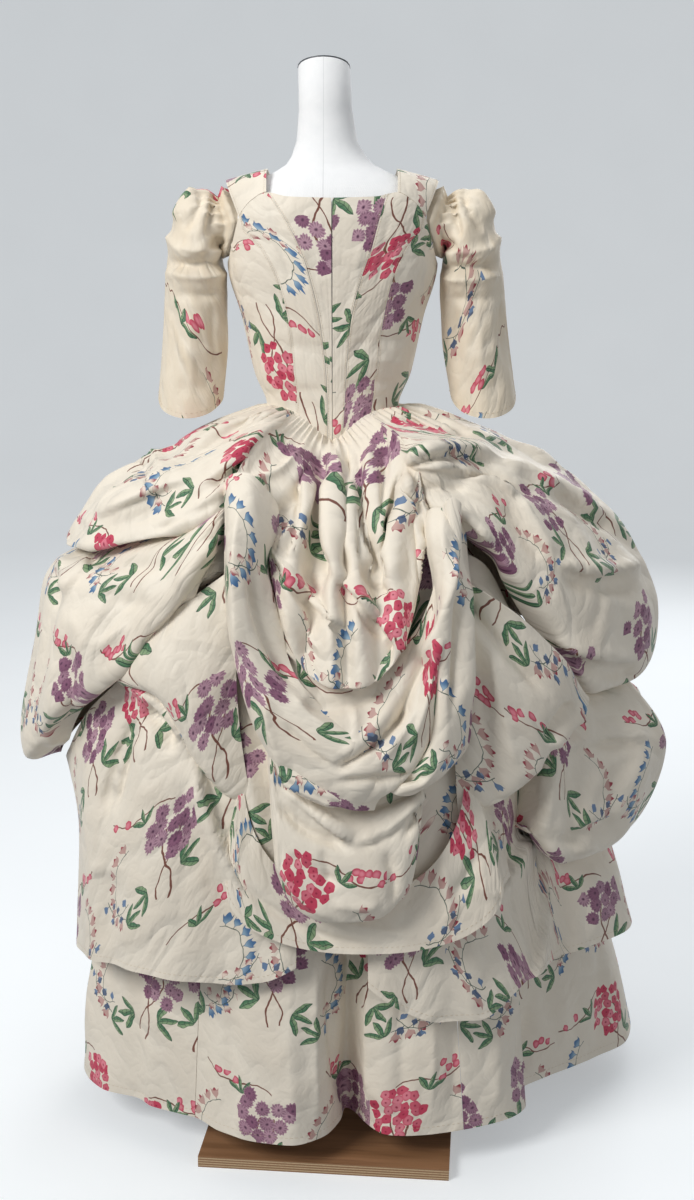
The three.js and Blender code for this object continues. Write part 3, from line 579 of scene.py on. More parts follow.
# the rows of a centre piece, from its top to its last turn
LOOP = "middleX halfWidth lowZ endZ lowY endY square"
SHELF = table("middleX lowZ lowY square alongSide",
              "0 1034 -128 2 0.16, 2 1006 -178 2 0.36, 6 945 -236 2.2 0.6")
EDGE_GAP = 3.5
CENTRE = {
    "pouf": table(LOOP, """
        10 106 872 1002 -282 -212 2.4, 18 103 800 968 -320 -224 2.6,
        20 98 745 942 -338 -230 2.4, 20 90 764 942 -320 -220 2.4"""),
    "swag": table(LOOP, """
        20 126 762 950 -299 -250 2.2, 20 136 700 972 -334 -260 2.3,
        21 146 628 984 -352 -268 2.3, 21 158 590 976 -346 -266 2.3,
        21 155 606 966 -322 -252 2.3, 21 148 640 950 -296 -240 2.3"""),
    "tail": table(LOOP, """
        20 96 598 690 -302 -280 2.6, 20 102 540 664 -332 -286 2.8, 20 103 470 630 -344 -288 3,
        18 98 420 590 -334 -286 3, 18 94 434 590 -314 -278 3, 18 90 462 590 -296 -274 3"""),
    "hem": table(LOOP, """
        30 150 440 610 -294 -268 2.2, 38 172 405 540 -300 -274 2.2,
        45 190 361 448 -306 -278 2.2"""),
}

# %% [markdown]
# The gathers at the waist are not even. Each table row is one little pipe of cloth:
# where it leaves the seam, how wide and how deep it is, and how far it reaches.

# %% Skirt shapes
# each gather along half the waist: place, width, depth, reach down the cloth
GATHER = "at width depth reach"
GATHER_GAIN, GATHER_SETTLE, SETTLE_REACH = 2.1, 5, 0.22
SKIRT_WAVES = 4.3  # slow waves round a side width
SKIRT_SWAY, HEM_SWAY = 7, 4  # how far they stand out, in millimetres
GATHERS = table(GATHER, """
    0.012 0.008 3.6 0.16, 0.035 0.009 4.8 0.24, 0.058 0.008 4.0 0.15, 0.082 0.010 5.4 0.30,
    0.108 0.009 4.2 0.18, 0.135 0.012 5.8 0.27, 0.165 0.010 4.4 0.17, 0.196 0.013 5.6 0.34,
    0.232 0.012 4.4 0.20, 0.270 0.014 5.6 0.25, 0.310 0.012 4.0 0.16, 0.352 0.016 5.4 0.33,
    0.398 0.013 4.2 0.19, 0.445 0.017 5.2 0.26, 0.492 0.013 3.8 0.15, 0.540 0.017 5.0 0.30,
    0.592 0.014 4.0 0.18, 0.645 0.018 5.2 0.28, 0.700 0.015 4.2 0.17, 0.752 0.018 4.8 0.25,
    0.808 0.015 3.8 0.15, 0.862 0.018 4.6 0.29, 0.915 0.014 3.8 0.18, 0.962 0.014 4.2 0.22""")


def gathering(u, v, rows, stretch=1.0):
    """How far each point is lifted by its gathers, in millimetres, less what they settle in all."""
    rise = np.minimum(v * 30 + 0.15, 1)
    fading = lambda reach: np.maximum(0, 1 - v / (reach * stretch)) ** 1.2 * rise
    total = 0
    for row in rows:
        spread = row["at"] + (u - row["at"]) / (1 + 1.2 * v)
        total = total + row["depth"] * fading(row["reach"]) * bump(spread, row["at"], row["width"])
    return GATHER_GAIN * total - GATHER_SETTLE * fading(SETTLE_REACH)


def waist_edge(azimuth):
    """Where a skirt leaves the waist seam, a little inside the bodice."""
    return figure(azimuth, waist(azimuth) + 1, -1.4)


def down(azimuth, row, folds, first, t):
    points = [polar(azimuth, row[fold + "Out"], row[fold + "Z"]) for fold in folds]
    return through(np.stack(([first] if first is not None else []) + points), t)


def side_width(u, v, side, part, plain=False):
    sign = -1 if side == "left" else 1
    back = {"upper": BACK_EDGE[side], "lower": 31 if side == "left" else 53, "panel": 10}[part]
    azimuth = lerp(back, FRONT_EDGE, u)
    wave = np.sin(2 * math.pi * SKIRT_WAVES * u + 1.1) + 0.5 * np.sin(5 * math.pi * SKIRT_WAVES * u)
    sway = SKIRT_SWAY * wave * np.sin(math.pi * v) ** 2
    if part == "upper":
        seam = waist_edge(azimuth)
        p = down(azimuth, UPPER[side](azimuth), ["crown", "bulge", "belly", "roll", "tuck"], seam, v)
        if plain:
            even_gathers = np.cos(20 * math.pi * u) * np.minimum(v * 12, 1)
            p[..., 2] += 4 * even_gathers * np.maximum(0, 1 - v / 0.34) ** 1.3
        else:
            p[..., 2] += gathering(u, v, GATHERS)
    elif part == "lower":
        above = UPPER[side](azimuth)
        top = polar(azimuth, above["tuckOut"] - 5, above["tuckZ"] - 7)
        p = down(azimuth, LOWER[side](azimuth), ["shoulder", "belly", "roll", "tuck"], top, v)
    else:
        p = down(azimuth, PANEL[side](azimuth), ["top", "belly", "hem"], None, v)
        sway = HEM_SWAY * wave * v**2
    p += polar(azimuth, 1, 0) * sway[..., None]
    p[..., 0] *= sign
    return p


def hung(row, turn, left, right):
    """A loop of cloth that hangs between a left and a right end."""
    end = np.where((turn < 0)[..., None], left, right)
    power = 2 / row["square"]
    s, c = np.abs(np.sin(np.radians(turn))), np.abs(np.cos(np.radians(turn)))
    return spot(row["middleX"] + (end[..., 0] - row["middleX"]) * s**power,
                lerp(end[..., 1], row["lowY"], c**power), lerp(end[..., 2], row["lowZ"], c**power))


def loop(row, turn):
    return hung(row, turn, *((row["middleX"] + way * row["halfWidth"], row["endY"], row["endZ"])
                             for way in (-1, 1)))


def shelf_loop(row, turn):
    """A loop of the pouf's shelf, which ends just inside the back edges of the two upper puffs."""
    ends = []
    for side in ("left", "right"):
        along = np.full((1, 1), row["alongSide"])
        end = side_width(np.zeros((1, 1)), along, side, "upper", plain=True)[0, 0]
        end[0] -= math.copysign(EDGE_GAP, end[0])
        end[2] -= EDGE_GAP / 2
        ends.append(end)
    return hung(row, turn, *ends)


# upright pipes of the pouf: positive ridges, negative hollows
PIPES = table("x width out lean", """
    -62 14 16 -0.1, -34 12 -24 0, -4 12 14 0.1, 18 8 -16 0.05, 42 13 12 0, 62 9 -18 0.1,
    88 12 14 0.25""")


def centre_width(u, v, part):
    turn = lerp(-90.0, 90.0, u)
    points = [loop(row, turn) for row in CENTRE[part]]
    if part == "swag":
        hook = smooth((np.abs(turn) - 60) / 30) ** 1.5
        for point in points:
            point[..., 0] -= np.sign(turn) * 9 * hook
            point[..., 1] += 4 * hook
    if part == "pouf":
        azimuth = lerp(-BACK_EDGE["left"], BACK_EDGE["right"], u) * 0.985
        points = [waist_edge(azimuth)] + [shelf_loop(row, turn) for row in SHELF] + points
    p = through(np.stack(points), v)
    if part == "pouf":
        c = np.maximum(np.cos(np.radians(turn)), 0)
        fade = np.sin(math.pi * np.clip((v - 0.12) / 0.8, 0, 1)) ** 0.8 * c**0.7
        for pipe in PIPES:
            middle = pipe["x"] * (0.4 + 0.7 * v) + pipe["lean"] * 60 * v
            p[..., 1] -= fade * pipe["out"] * bump(p[..., 0], middle, pipe["width"])
        p[..., 2] += gathering(u, v, POUF_GATHERS, 0.8) * c
    return p


POUF_GATHERS = table(GATHER, """
    0.06 0.014 2.6 0.20, 0.11 0.016 3.6 0.34, 0.16 0.013 2.8 0.22, 0.215 0.017 4.0 0.40,
    0.27 0.014 3.0 0.24, 0.32 0.016 4.2 0.36, 0.375 0.013 3.0 0.26, 0.43 0.016 4.0 0.42,
    0.49 0.013 3.0 0.24, 0.545 0.017 4.2 0.40, 0.60 0.014 3.2 0.28, 0.655 0.017 4.2 0.38,
    0.71 0.013 3.0 0.22, 0.765 0.016 4.0 0.36, 0.82 0.014 3.0 0.26, 0.88 0.017 3.6 0.32,
    0.94 0.014 2.6 0.20""")

# %% [markdown]
# ## Petticoat
#
# The petticoat is one ring of flutes. Close to the waist it only fits the body; the
# flutes open towards the hem, the deepest being the fold beside the centre back.

# %% Petticoat shape
HEM_RING = Profile("azimuth body flute", """
    -180 292 0, -165 296 12, -150 312 -10, -135 335 12, -120 355 -10, -104 376 8, -92 388 -12,
    -81 388 8, -70 376 0, -62 350 -18, -56 330 -6, -44 302 -10, -33 292 4, -24 288 8,
    -12 284 6, -3 278 -18, 3 275 -58, 6 275 -90, 9 275 -80, 12 275 -46, 16 276 -12, 20 279 -4,
    27 286 2, 38 300 8, 48 318 12, 57 340 0, 66 352 -38, 74 368 -26, 85 396 18, 92 410 62,
    99 412 84, 108 404 104, 116 384 70, 128 352 16, 142 325 -8, 155 305 12, 168 296 -4,
    180 292 0""")
PETTICOAT_TOP, PETTICOAT_HEM = 1030, 58
SKIRT_FALL = Profile("z share flute", """
    58 1 1, 200 0.94 0.8, 350 0.86 0.48, 500 0.78 0.16, 650 0.69 0.02, 800 0.56 0, 880 0.46 0,
    950 0.3 0, 1000 0.13 0, 1030 0 0""")


def petticoat_point(azimuth, z):
    near = np.where(azimuth > 180, azimuth - 360, azimuth)
    ring, fall = HEM_RING(near), SKIRT_FALL(z)
    top = figure(azimuth, np.full(np.shape(azimuth), float(PETTICOAT_TOP)))
    out = lerp(np.hypot(top[..., 0], top[..., 1]), ring["body"], fall["share"])
    out = out + ring["flute"] * fall["flute"]
    own = np.degrees(np.arctan2(top[..., 0], -top[..., 1]))
    own = near + (own - near + 180) % 360 - 180
    return polar(lerp(own, near, smooth(fall["share"] * 3)), out, z)


def petticoat(u, v, begin, end):
    z = lerp(PETTICOAT_TOP, PETTICOAT_HEM, v)
    plain = petticoat_point(lerp(begin, end, u), z)
    inset = np.degrees(SEAM / np.hypot(plain[..., 0], plain[..., 1]))
    azimuth = lerp(begin + inset, end - inset, u)
    p = petticoat_point(azimuth, z)
    if begin == FRONT_EDGE:
        p = lerp(waist_edge(azimuth), p, smooth(v / 0.04)[..., None])
    return p

# %% [markdown]
# ## Where the silk breaks
#
# The long rolls come from the tables above. These rows add what the hand does when it
# draws the skirt up: sharp breaks that fan out from the two points, slack folds that
# cross the puffs, and small dents near the edges. Depth is in millimetres: negative
# presses in, positive lifts.

# %% Creases where the eye sees them
LEFT_WING = creases("""
    292 412 225 425 176 452 8 6, 286 424 240 462 204 488 7 -7, 262 420 215 440 168 470 5 -4,
    148 450 166 458 158 490 5 6, 140 455 150 472 142 496 7 -6, 236 470 262 455 296 462 4 -5,
    240 482 270 478 305 455 4 4, 250 492 275 485 300 476 3 -4, 226 478 214 508 160 534 9 7,
    222 498 190 520 150 531 4 -4, 196 470 150 492 98 520 14 5, 200 490 150 512 92 532 10 -4,
    120 486 104 500 100 520 6 3, 180 440 172 452 150 462 5 -3, 160 545 118 556 72 542 6 4,
    86 520 70 530 62 548 6 -4""")
LEFT_LOWER = creases("""
    228 530 210 572 168 622 7 -9, 212 538 196 566 178 590 9 6, 76 550 120 575 180 560 10 -5,
    60 556 74 580 62 594 5 7, 52 566 60 590 56 612 4 -5, 100 590 130 610 150 600 9 -3,
    66 610 92 640 88 690 10 4, 58 640 76 668 70 720 7 -5, 150 640 120 668 60 716 8 6,
    110 682 80 704 40 734 6 -4, 132 622 112 640 90 648 7 3, 30 757 60 778 84 824 6 5,
    50 748 84 760 100 800 7 -6, 40 742 66 742 96 716 5 4""")
LEFT_PANEL = creases("""
    118 680 164 690 190 756 6 10, 140 708 160 718 176 752 8 -12, 140 722 118 756 108 822 8 -10,
    124 730 150 760 152 812 12 5, 192 752 206 850 284 932 9 6, 180 770 190 868 262 950 10 -5,
    226 640 214 720 218 800 11 -6, 240 690 246 780 268 862 8 5, 150 792 146 860 158 958 18 4,
    106 860 112 905 100 955 10 -4, 198 820 176 880 182 960 14 -3, 88 866 104 874 122 868 5 4,
    246 850 254 900 284 936 7 -5""")
RIGHT_WING = creases("""
    396 412 430 420 480 440 6 -6, 400 404 450 414 520 448 7 5, 407 467 430 446 498 461 7 7,
    498 461 545 478 612 518 7 6, 440 474 490 466 545 500 6 -8, 545 490 580 508 612 528 5 -6,
    407 468 470 468 520 498 6 6, 518 497 532 520 556 560 6 5, 505 500 524 530 544 564 8 -5,
    420 492 438 484 470 488 6 -5, 424 512 470 506 494 548 6 8, 494 548 524 610 572 680 7 7,
    480 552 505 600 545 656 6 -8, 424 510 436 513 446 510 3 -6, 556 560 600 580 646 564 8 5,
    560 574 605 596 645 582 8 -6, 600 590 622 610 646 612 8 3, 606 580 602 610 590 636 5 -3,
    548 638 590 660 636 662 8 5, 552 652 592 674 636 678 7 -6, 560 470 590 490 600 512 5 -3,
    620 660 640 690 655 735 8 -4, 600 700 625 716 655 738 6 5""")
RIGHT_LOWER = creases("""
    652 742 624 786 612 826 9 4, 640 752 610 780 590 812 8 -4, 560 720 585 742 640 748 10 -5,
    556 740 552 800 542 838 6 6, 570 760 580 810 566 860 10 -4, 540 836 566 870 620 832 6 5,
    560 832 590 838 616 818 6 -3, 600 770 598 800 576 836 9 3""")
RIGHT_PANEL = creases("""
    456 572 510 616 586 698 6 9, 452 590 500 640 552 700 8 -8, 588 700 566 730 550 752 5 8,
    576 700 556 722 546 742 5 -7, 548 756 560 790 482 918 9 6, 532 770 536 830 472 900 10 -5,
    490 640 500 720 520 770 10 4, 476 640 486 740 500 830 10 -4, 537 838 552 920 526 1000 8 5,
    560 868 574 920 556 980 10 -5, 592 860 596 900 590 944 9 4, 512 880 500 940 486 1004 12 -4,
    454 952 470 985 476 1012 7 3""")
POUF = creases("""
    345 440 352 500 362 566 4 -10, 336 446 334 500 338 560 5 7, 322 440 318 510 322 590 5 -8,
    405 468 394 510 382 588 4 -11, 406 468 428 520 436 592 5 8, 415 480 414 540 424 590 5 -5,
    372 440 366 500 372 560 6 6, 382 430 388 470 380 520 4 -5, 360 560 372 598 390 590 5 -5,
    302 448 286 482 232 482 4 6, 310 462 292 500 268 520 5 -7, 318 470 304 520 270 560 5 6,
    262 480 270 510 262 560 5 -6, 240 476 256 500 256 560 6 5, 330 560 350 600 392 634 5 6,
    434 620 426 650 396 648 5 5, 389 636 386 655 388 668 4 -8, 346 580 356 612 384 640 4 -5,
    300 560 318 610 352 648 6 -5, 278 560 290 610 322 655 6 5, 440 560 446 600 436 650 5 -5,
    310 585 318 620 346 640 5 4, 296 478 300 520 292 556 5 -5, 352 470 346 520 350 560 5 3""")
SWAG = creases("""
    262 560 262 640 330 676 6 6, 250 560 254 640 300 690 5 -7, 240 500 232 600 244 660 6 7,
    330 774 372 750 408 698 5 -9, 338 760 372 738 396 700 5 5, 276 770 300 792 346 806 5 6,
    300 700 330 720 380 690 8 -5, 290 690 310 730 360 740 8 4, 428 640 412 690 390 730 5 -7,
    440 620 436 690 408 750 6 7, 454 546 450 610 434 676 5 8, 462 560 468 640 466 720 5 7,
    456 580 458 640 452 720 4 -7, 330 784 390 776 430 779 4 -6, 284 720 300 752 340 770 5 -4,
    350 700 362 720 350 748 5 3, 420 700 404 740 372 768 5 4, 266 690 268 740 290 776 5 5""")
TAIL = creases("""
    276 800 300 836 350 848 5 -7, 280 790 310 822 360 832 5 6, 400 842 430 806 438 784 5 -6,
    350 806 380 812 428 782 4 -6, 286 850 310 880 350 884 6 -4, 276 850 290 900 336 920 5 5,
    300 800 330 818 352 846 5 4, 392 920 420 880 432 830 6 4, 384 850 400 880 392 912 6 -4,
    330 900 352 912 384 904 6 4, 320 850 332 868 326 892 5 -3""")
CENTRE_HEM = creases("""
    236 880 300 945 380 946 5 -4, 300 900 350 930 420 936 6 3, 450 900 470 880 480 850 7 -4,
    440 860 452 890 446 930 7 4, 480 880 488 900 500 894 5 3""")
PETTICOAT_BACK = creases("""
    150 980 146 1040 152 1100 12 2.5, 232 1000 228 1060 236 1130 9 -2.5,
    292 970 286 1050 296 1140 12 3, 330 965 334 1040 344 1110 7 -7,
    316 960 312 1040 318 1132 7 4, 372 960 366 1040 372 1124 6 5,
    398 960 404 1040 400 1130 9 -3, 430 960 436 1040 430 1130 8 3,
    452 1000 458 1060 452 1124 7 -2.5, 110 900 106 980 112 1080 9 -4,
    92 900 94 960 90 1060 6 4, 496 1010 500 1060 494 1112 8 3, 530 1000 526 1040 516 1088 8 -6,
    560 980 566 1020 560 1054 9 4, 602 900 606 980 600 1050 7 -5, 628 880 634 950 642 1010 7 4,
    584 980 590 1020 588 1052 6 3""")

LAPS = {
    "upper_left": creases("""
        190 502 226 472 292 418 15 9, 96 520 128 500 196 478 16 6, 232 482 268 482 306 450 7 6,
        150 505 160 470 146 449 9 7"""),
    "lower_left": creases("""
        170 624 208 580 228 528 14 12, 62 592 84 570 96 552 10 6, 44 730 84 706 150 652 16 8"""),
    "panel_left": creases("286 936 214 860 196 752 22 10, 108 826 116 752 142 716 12 -12"),
    "upper_right": creases("""
        407 468 436 440 502 463 15 14, 496 461 560 480 640 552 14 9,
        410 471 480 464 524 503 12 9, 424 513 462 500 500 560 10 8,
        554 562 600 588 648 564 13 9, 546 640 592 668 642 662 13 8,
        436 430 500 440 560 476 12 5"""),
    "lower_right": creases("556 758 604 730 656 742 12 7, 546 838 590 826 616 812 10 6"),
    "panel_right": creases("546 762 556 800 478 922 18 8, 536 838 556 920 524 1002 14 7"),
    "pouf": creases("""
        404 466 394 520 380 592 12 15, 384 594 356 540 352 470 10 12,
        326 470 320 520 334 585 11 14, 300 470 306 520 284 560 10 8,
        268 548 296 600 356 640 12 9, 438 596 420 520 408 470 12 9,
        330 572 366 604 398 650 10 8"""),
    "swag": creases("""
        256 600 280 680 372 692 12 9, 330 775 376 750 410 698 12 9,
        436 676 452 600 454 546 10 9, 268 768 300 790 348 806 10 6,
        464 700 468 620 458 566 9 7"""),
    "tail": creases("276 786 320 826 356 848 12 8, 350 846 396 842 434 784 10 8"),
}

# %% [markdown]
# ## Flaps and bag tops
#
# Four pieces of the drapery overlap their neighbours: a flap on either side, whose
# edge rolls under, and the two bag tops where the swag leaves the drawn points. Each
# is laid as a small net of given points: across and down as the eye sees it,
# and how far back it lies.

# %% Nets
NETS = {
    "overskirt_side_left_hem": ["""
        236 566 -262, 206 588 -258, 172 614 -250, 142 643 -236, 121 672 -222,
        236 610 -270, 204 624 -272, 170 640 -266, 142 656 -250, 118 677 -226,
        236 670 -276, 204 672 -282, 172 672 -278, 144 670 -258, 118 680 -228,
        240 730 -274, 212 724 -282, 184 712 -282, 152 690 -262, 119 682 -226,
        250 800 -268, 226 790 -270, 196 760 -264, 158 698 -246, 121 684 -216,
        250 812 -246, 224 796 -246, 192 756 -240, 154 694 -228, 122 683 -206"""],
    "overskirt_side_right_hem": ["""
        452 572 -258, 480 594 -262, 510 619 -254, 546 653 -232, 586 696 -200,
        452 610 -266, 482 622 -274, 514 638 -268, 550 664 -244, 588 700 -202,
        452 670 -272, 486 672 -280, 520 676 -276, 556 688 -250, 587 703 -202,
        454 740 -270, 488 734 -278, 522 728 -274, 556 716 -250, 580 711 -200,
        458 810 -262, 494 804 -268, 532 778 -262, 552 748 -240, 570 722 -196,
        460 816 -240, 492 800 -244, 526 770 -238, 546 742 -220, 566 718 -182"""],
    "overskirt_centre_swag": ["""
        224 484 -214, 232 474 -232, 250 474 -246, 268 490 -244, 278 506 -226,
        224 500 -240, 232 492 -268, 250 496 -280, 266 508 -270, 279 518 -238,
        225 530 -252, 231 528 -292, 248 530 -302, 264 534 -288, 277 538 -250,
        225 570 -262, 230 570 -306, 244 572 -318, 256 572 -304, 268 566 -262,
        228 620 -276, 233 622 -318, 247 626 -330, 262 626 -318, 274 616 -288,
        238 676 -306, 246 682 -328, 262 690 -339, 282 690 -335, 300 682 -318,
        254 728 -322, 264 726 -340, 282 722 -348, 304 716 -343, 322 704 -324,
        280 768 -334, 290 760 -350, 308 748 -357, 330 738 -350, 350 724 -330,
        318 794 -344, 326 786 -357, 340 772 -362, 360 756 -354, 376 740 -332,
        350 809 -346, 356 801 -355, 366 786 -358, 384 766 -348, 394 748 -328,
        374 810 -328, 378 802 -332, 386 790 -332, 400 770 -324, 408 752 -312""", """
        424 516 -232, 432 508 -246, 444 508 -252, 456 514 -248, 466 528 -232,
        424 540 -250, 432 534 -276, 444 532 -284, 457 536 -274, 467 548 -240,
        432 580 -262, 439 578 -298, 448 578 -306, 459 580 -296, 469 586 -256,
        434 640 -282, 441 640 -318, 450 640 -326, 462 642 -314, 473 646 -270,
        430 700 -308, 438 702 -332, 448 704 -338, 461 702 -326, 472 700 -284,
        424 748 -326, 432 752 -340, 443 756 -342, 457 752 -328, 469 744 -292,
        404 776 -336, 414 784 -346, 426 784 -344, 440 778 -330, 456 762 -300,
        380 782 -330, 390 792 -340, 402 796 -338, 416 794 -322, 430 782 -300"""],
}

NET_POINTS = 5  # in each row of a net


def net(text, nu, nv):
    """A smooth sheet through a net of given points."""
    points = placed(*np.moveaxis(numbers(text).reshape(-1, NET_POINTS, 3), -1, 0))
    u, v = even(nu, nv)
    lines = [through(np.broadcast_to(row[:, None, None], (len(row), *u.shape, 3)), u) for row in points]
    return through(np.stack(lines), v)


SLEEVES = {
    "left": creases("""
        228 262 196 268 164 262 5 -5, 230 272 200 282 162 272 5 4, 226 250 204 254 176 246 5 4,
        224 292 200 300 170 292 5 -3, 170 300 176 330 168 380 6 -2.5,
        192 310 188 350 194 395 8 2.5, 214 300 212 340 216 380 5 -2.5,
        166 230 176 250 196 262 6 4, 222 236 214 250 198 260 5 -4, 180 352 196 358 218 348 5 2,
        176 384 190 392 214 384 5 -2, 204 190 196 214 182 232 5 -4,
        216 192 212 216 208 240 4 -4, 196 186 184 200 174 222 5 4"""),
    "right": creases("""
        438 266 468 272 502 262 5 -5, 440 276 470 286 504 274 5 4, 442 252 466 256 494 246 5 4,
        446 296 472 304 502 294 5 -3, 504 300 500 330 508 372 6 -2.5,
        478 312 482 350 480 396 8 2.5, 454 302 456 340 456 376 5 -2.5,
        500 232 492 250 472 264 6 4, 446 238 454 252 468 262 5 -4, 460 352 478 360 506 350 5 2,
        460 380 480 392 506 382 5 -2, 462 190 470 214 486 234 5 -4,
        450 192 454 216 460 242 4 -4, 472 186 486 200 494 222 5 4"""),
}
BODICE = creases("""
    262 395 300 388 328 392 5 -1.6, 340 386 372 380 402 384 5 -1.6,
    250 350 282 342 320 350 6 -1.2, 344 346 380 338 416 344 6 -1.2,
    262 372 280 366 300 374 4 1.2, 360 362 384 358 408 366 4 1.2,
    236 288 252 300 262 326 5 -1.6, 426 292 414 306 406 330 5 -1.6,
    300 236 310 290 318 340 6 1.0, 362 236 356 290 350 340 6 1.0,
    276 214 280 250 292 290 5 -1.2, 388 212 386 250 376 292 5 -1.2""")

# %% [markdown]
# The sides and the front have no eye on them in that frame. Their creases are laid by
# azimuth and height. They keep the same habits as the back: breaks fan from the drawn
# points, cross a puff and die before its roll.

# %% Creases on the sides and the front
SIDES = {
    "upper_left": creases("""
        72 1035 88 1000 92 930 16 5, 84 1045 100 1010 108 940 12 -6,
        96 1040 116 1015 122 930 15 5, 112 1030 126 1000 130 920 11 -5,
        124 1020 138 985 140 915 13 4, 92 975 106 955 124 960 10 -4,
        102 930 118 940 138 915 9 4, 136 1015 144 980 146 905 9 -4"""),
    "upper_right": creases("""
        80 1040 96 980 98 840 18 6, 90 1045 106 990 112 850 13 -7,
        102 1040 120 980 124 830 16 5, 116 1030 128 960 132 800 12 -6,
        128 1010 140 930 142 790 13 4, 96 880 110 850 128 860 12 -5,
        88 800 104 770 124 790 12 5, 104 740 118 760 140 770 10 -4,
        134 940 144 900 146 800 9 -4"""),
    "lower_left": creases("""
        88 850 100 760 96 640 16 5, 98 850 112 770 112 650 12 -6, 112 840 124 770 122 670 14 4,
        124 840 134 780 134 700 11 -5, 136 830 144 780 144 720 10 4,
        92 720 106 700 124 730 11 -4"""),
    "lower_right": creases("""
        92 660 104 600 100 510 16 5, 102 670 114 620 114 530 12 -6,
        116 680 126 630 126 560 13 4, 128 690 137 650 138 590 10 -5,
        96 570 110 556 126 580 10 -4"""),
    "panel_left": creases("""
        90 540 96 420 92 280 20 5, 104 560 110 430 106 280 14 -6, 118 600 122 460 120 290 18 4,
        132 640 136 480 134 295 13 -5, 144 690 146 520 145 305 10 4"""),
    "panel_right": creases("""
        92 440 98 380 94 300 18 5, 106 470 112 400 108 300 13 -6, 120 500 124 420 122 300 16 4,
        134 540 138 440 136 305 12 -5, 145 580 147 460 146 310 9 3"""),
    "petticoat_side_left": creases("""
        -84 520 -86 300 -83 60 20 5, -98 600 -99 320 -96 60 15 -7,
        -110 560 -112 300 -113 60 17 5, -124 620 -122 330 -125 60 14 -6,
        -138 640 -140 340 -137 60 15 4"""),
    "petticoat_side_right": creases("""
        118 520 121 300 119 60 16 -6, 130 600 128 330 132 60 17 5,
        142 620 144 340 141 60 13 -5"""),
    "petticoat_front": creases("""
        158 900 160 500 157 60 18 5, 168 860 166 520 169 60 14 -6, 176 900 178 500 175 60 17 4,
        -172 880 -174 500 -171 60 13 -6, -164 900 -162 520 -165 60 17 5,
        -156 860 -157 480 -155 60 12 -5"""),
}

# %% [markdown]
# ## Cutting the pieces
#
# Each piece is built at once: shape, unevenness, creases, wall, material, and the
# construction node it replaces.

# %% Build pieces
pieces = {}
SPRAY_ORIGIN = np.random.default_rng(17)
FLAP_GRID = 56, 88
UNDER_ARM = 92  # degrees from the centre back
SLEEVE_TUCK = 12  # the sleeve's head goes this far into the armhole
SLEEVE_CREASE_GAIN = 1.15


def turned_in(grid, left, right, count=6):
    """Carries the cloth on past its side edges, by vectors in millimetres, in under its neighbours."""
    steps = np.linspace(0, 1, count + 1)[1:, None]
    past = lambda edge, way: edge[:, None] + (smooth(steps) * 0.5 + steps * 0.5) * np.array(way) * MM
    sheets = [grid]
    if left:
        sheets.insert(0, past(grid[:, 0], left)[:, ::-1])
    if right:
        sheets.append(past(grid[:, -1], right))
    return np.concatenate(sheets, axis=1)


def tucked_top(grid, way, closer, count=5):
    """Carries the cloth on past its top edge, by a vector in millimetres and closer to its middle."""
    edge = grid[0]
    steps = np.linspace(1, 0, count + 1)[:-1, None, None]
    more = edge + steps * ((edge.mean(axis=0) - edge) * closer + np.array(way) * MM)
    return np.concatenate([more, grid])


def join(first, second):
    """Adds the mesh of a second sheet to a first: both are one cloth."""
    for piece in bpy.context.selected_objects:
        piece.select_set(False)
    for piece in (first, second):
        piece.select_set(True)
    bpy.context.view_layer.objects.active = first
    bpy.ops.object.join()


def cut(name, shape, nu, nv, args, flat, held, rests_on, slot="painted_silk", inwards=1, closed=False,
        seen_rows=(), laps=(), round_rows=(), uneven=0.0, seed=0, turn=None, tuck=None):
    grid = grid_of(shape, nu, nv, *args)
    if tuck:
        grid = tucked_top(grid, *tuck)
    if turn:
        grid = turned_in(grid, *turn)
    if closed:
        grid = grid[:, :-1]
    own_measure = measure(grid, closed) + SPRAY_ORIGIN.uniform(-3, 3, 2)
    u, v = even(grid.shape[1] - 1, grid.shape[0] - 1)
    normal = -normals_of(grid, closed) * inwards
    edge = 1 if closed else smooth(u / 0.04) * smooth((1 - u) / 0.04)
    grid = grid + normal * (ripples(u, v, seed) * uneven * edge * smooth(v / 0.08) * MM)[..., None]
    if seen_rows:
        grid = crease_seen(grid, seen_rows, closed, inwards)
    if laps:
        grid = crease_seen(grid, laps, closed, inwards, lap=True)
    if round_rows:
        grid = crease_round(grid, round_rows, closed, inwards)
    piece = wall(name, grid, inwards, own_measure, closed)
    for number, points in enumerate(NETS.get(name, [])):
        sheet = net(points, *FLAP_GRID)
        push = ripples(*even(*FLAP_GRID), 90 + number, reach=(1, 4)) * 2 * MM
        sheet = crease_seen(sheet - normals_of(sheet) * push[..., None], seen_rows)
        join(piece, wall(name + " flap", sheet, 1, measure(sheet) + SPRAY_ORIGIN.uniform(-3, 3, 2)))
    pieces[name] = dict(piece=piece, flat=flat, held=held, slot=slot, rests_on=rests_on, grid=grid,
                        closed=closed, inwards=inwards)


# what was cut: width along the cloth, length down it, and area, in metres
SIDE_CUT = {
    "upper_left": (0.85, 0.46, 0.27), "upper_right": (1.15, 0.70, 0.48),
    "lower_left": (1.12, 0.46, 0.34), "lower_right": (0.94, 0.38, 0.29),
    "panel_left": (1.05, 0.55, 0.46), "panel_right": (1.00, 0.50, 0.42),
}
SIDE_SEEN = {
    "upper_left": LEFT_WING, "lower_left": LEFT_LOWER, "panel_left": LEFT_PANEL,
    "upper_right": RIGHT_WING, "lower_right": RIGHT_LOWER, "panel_right": RIGHT_PANEL,
}

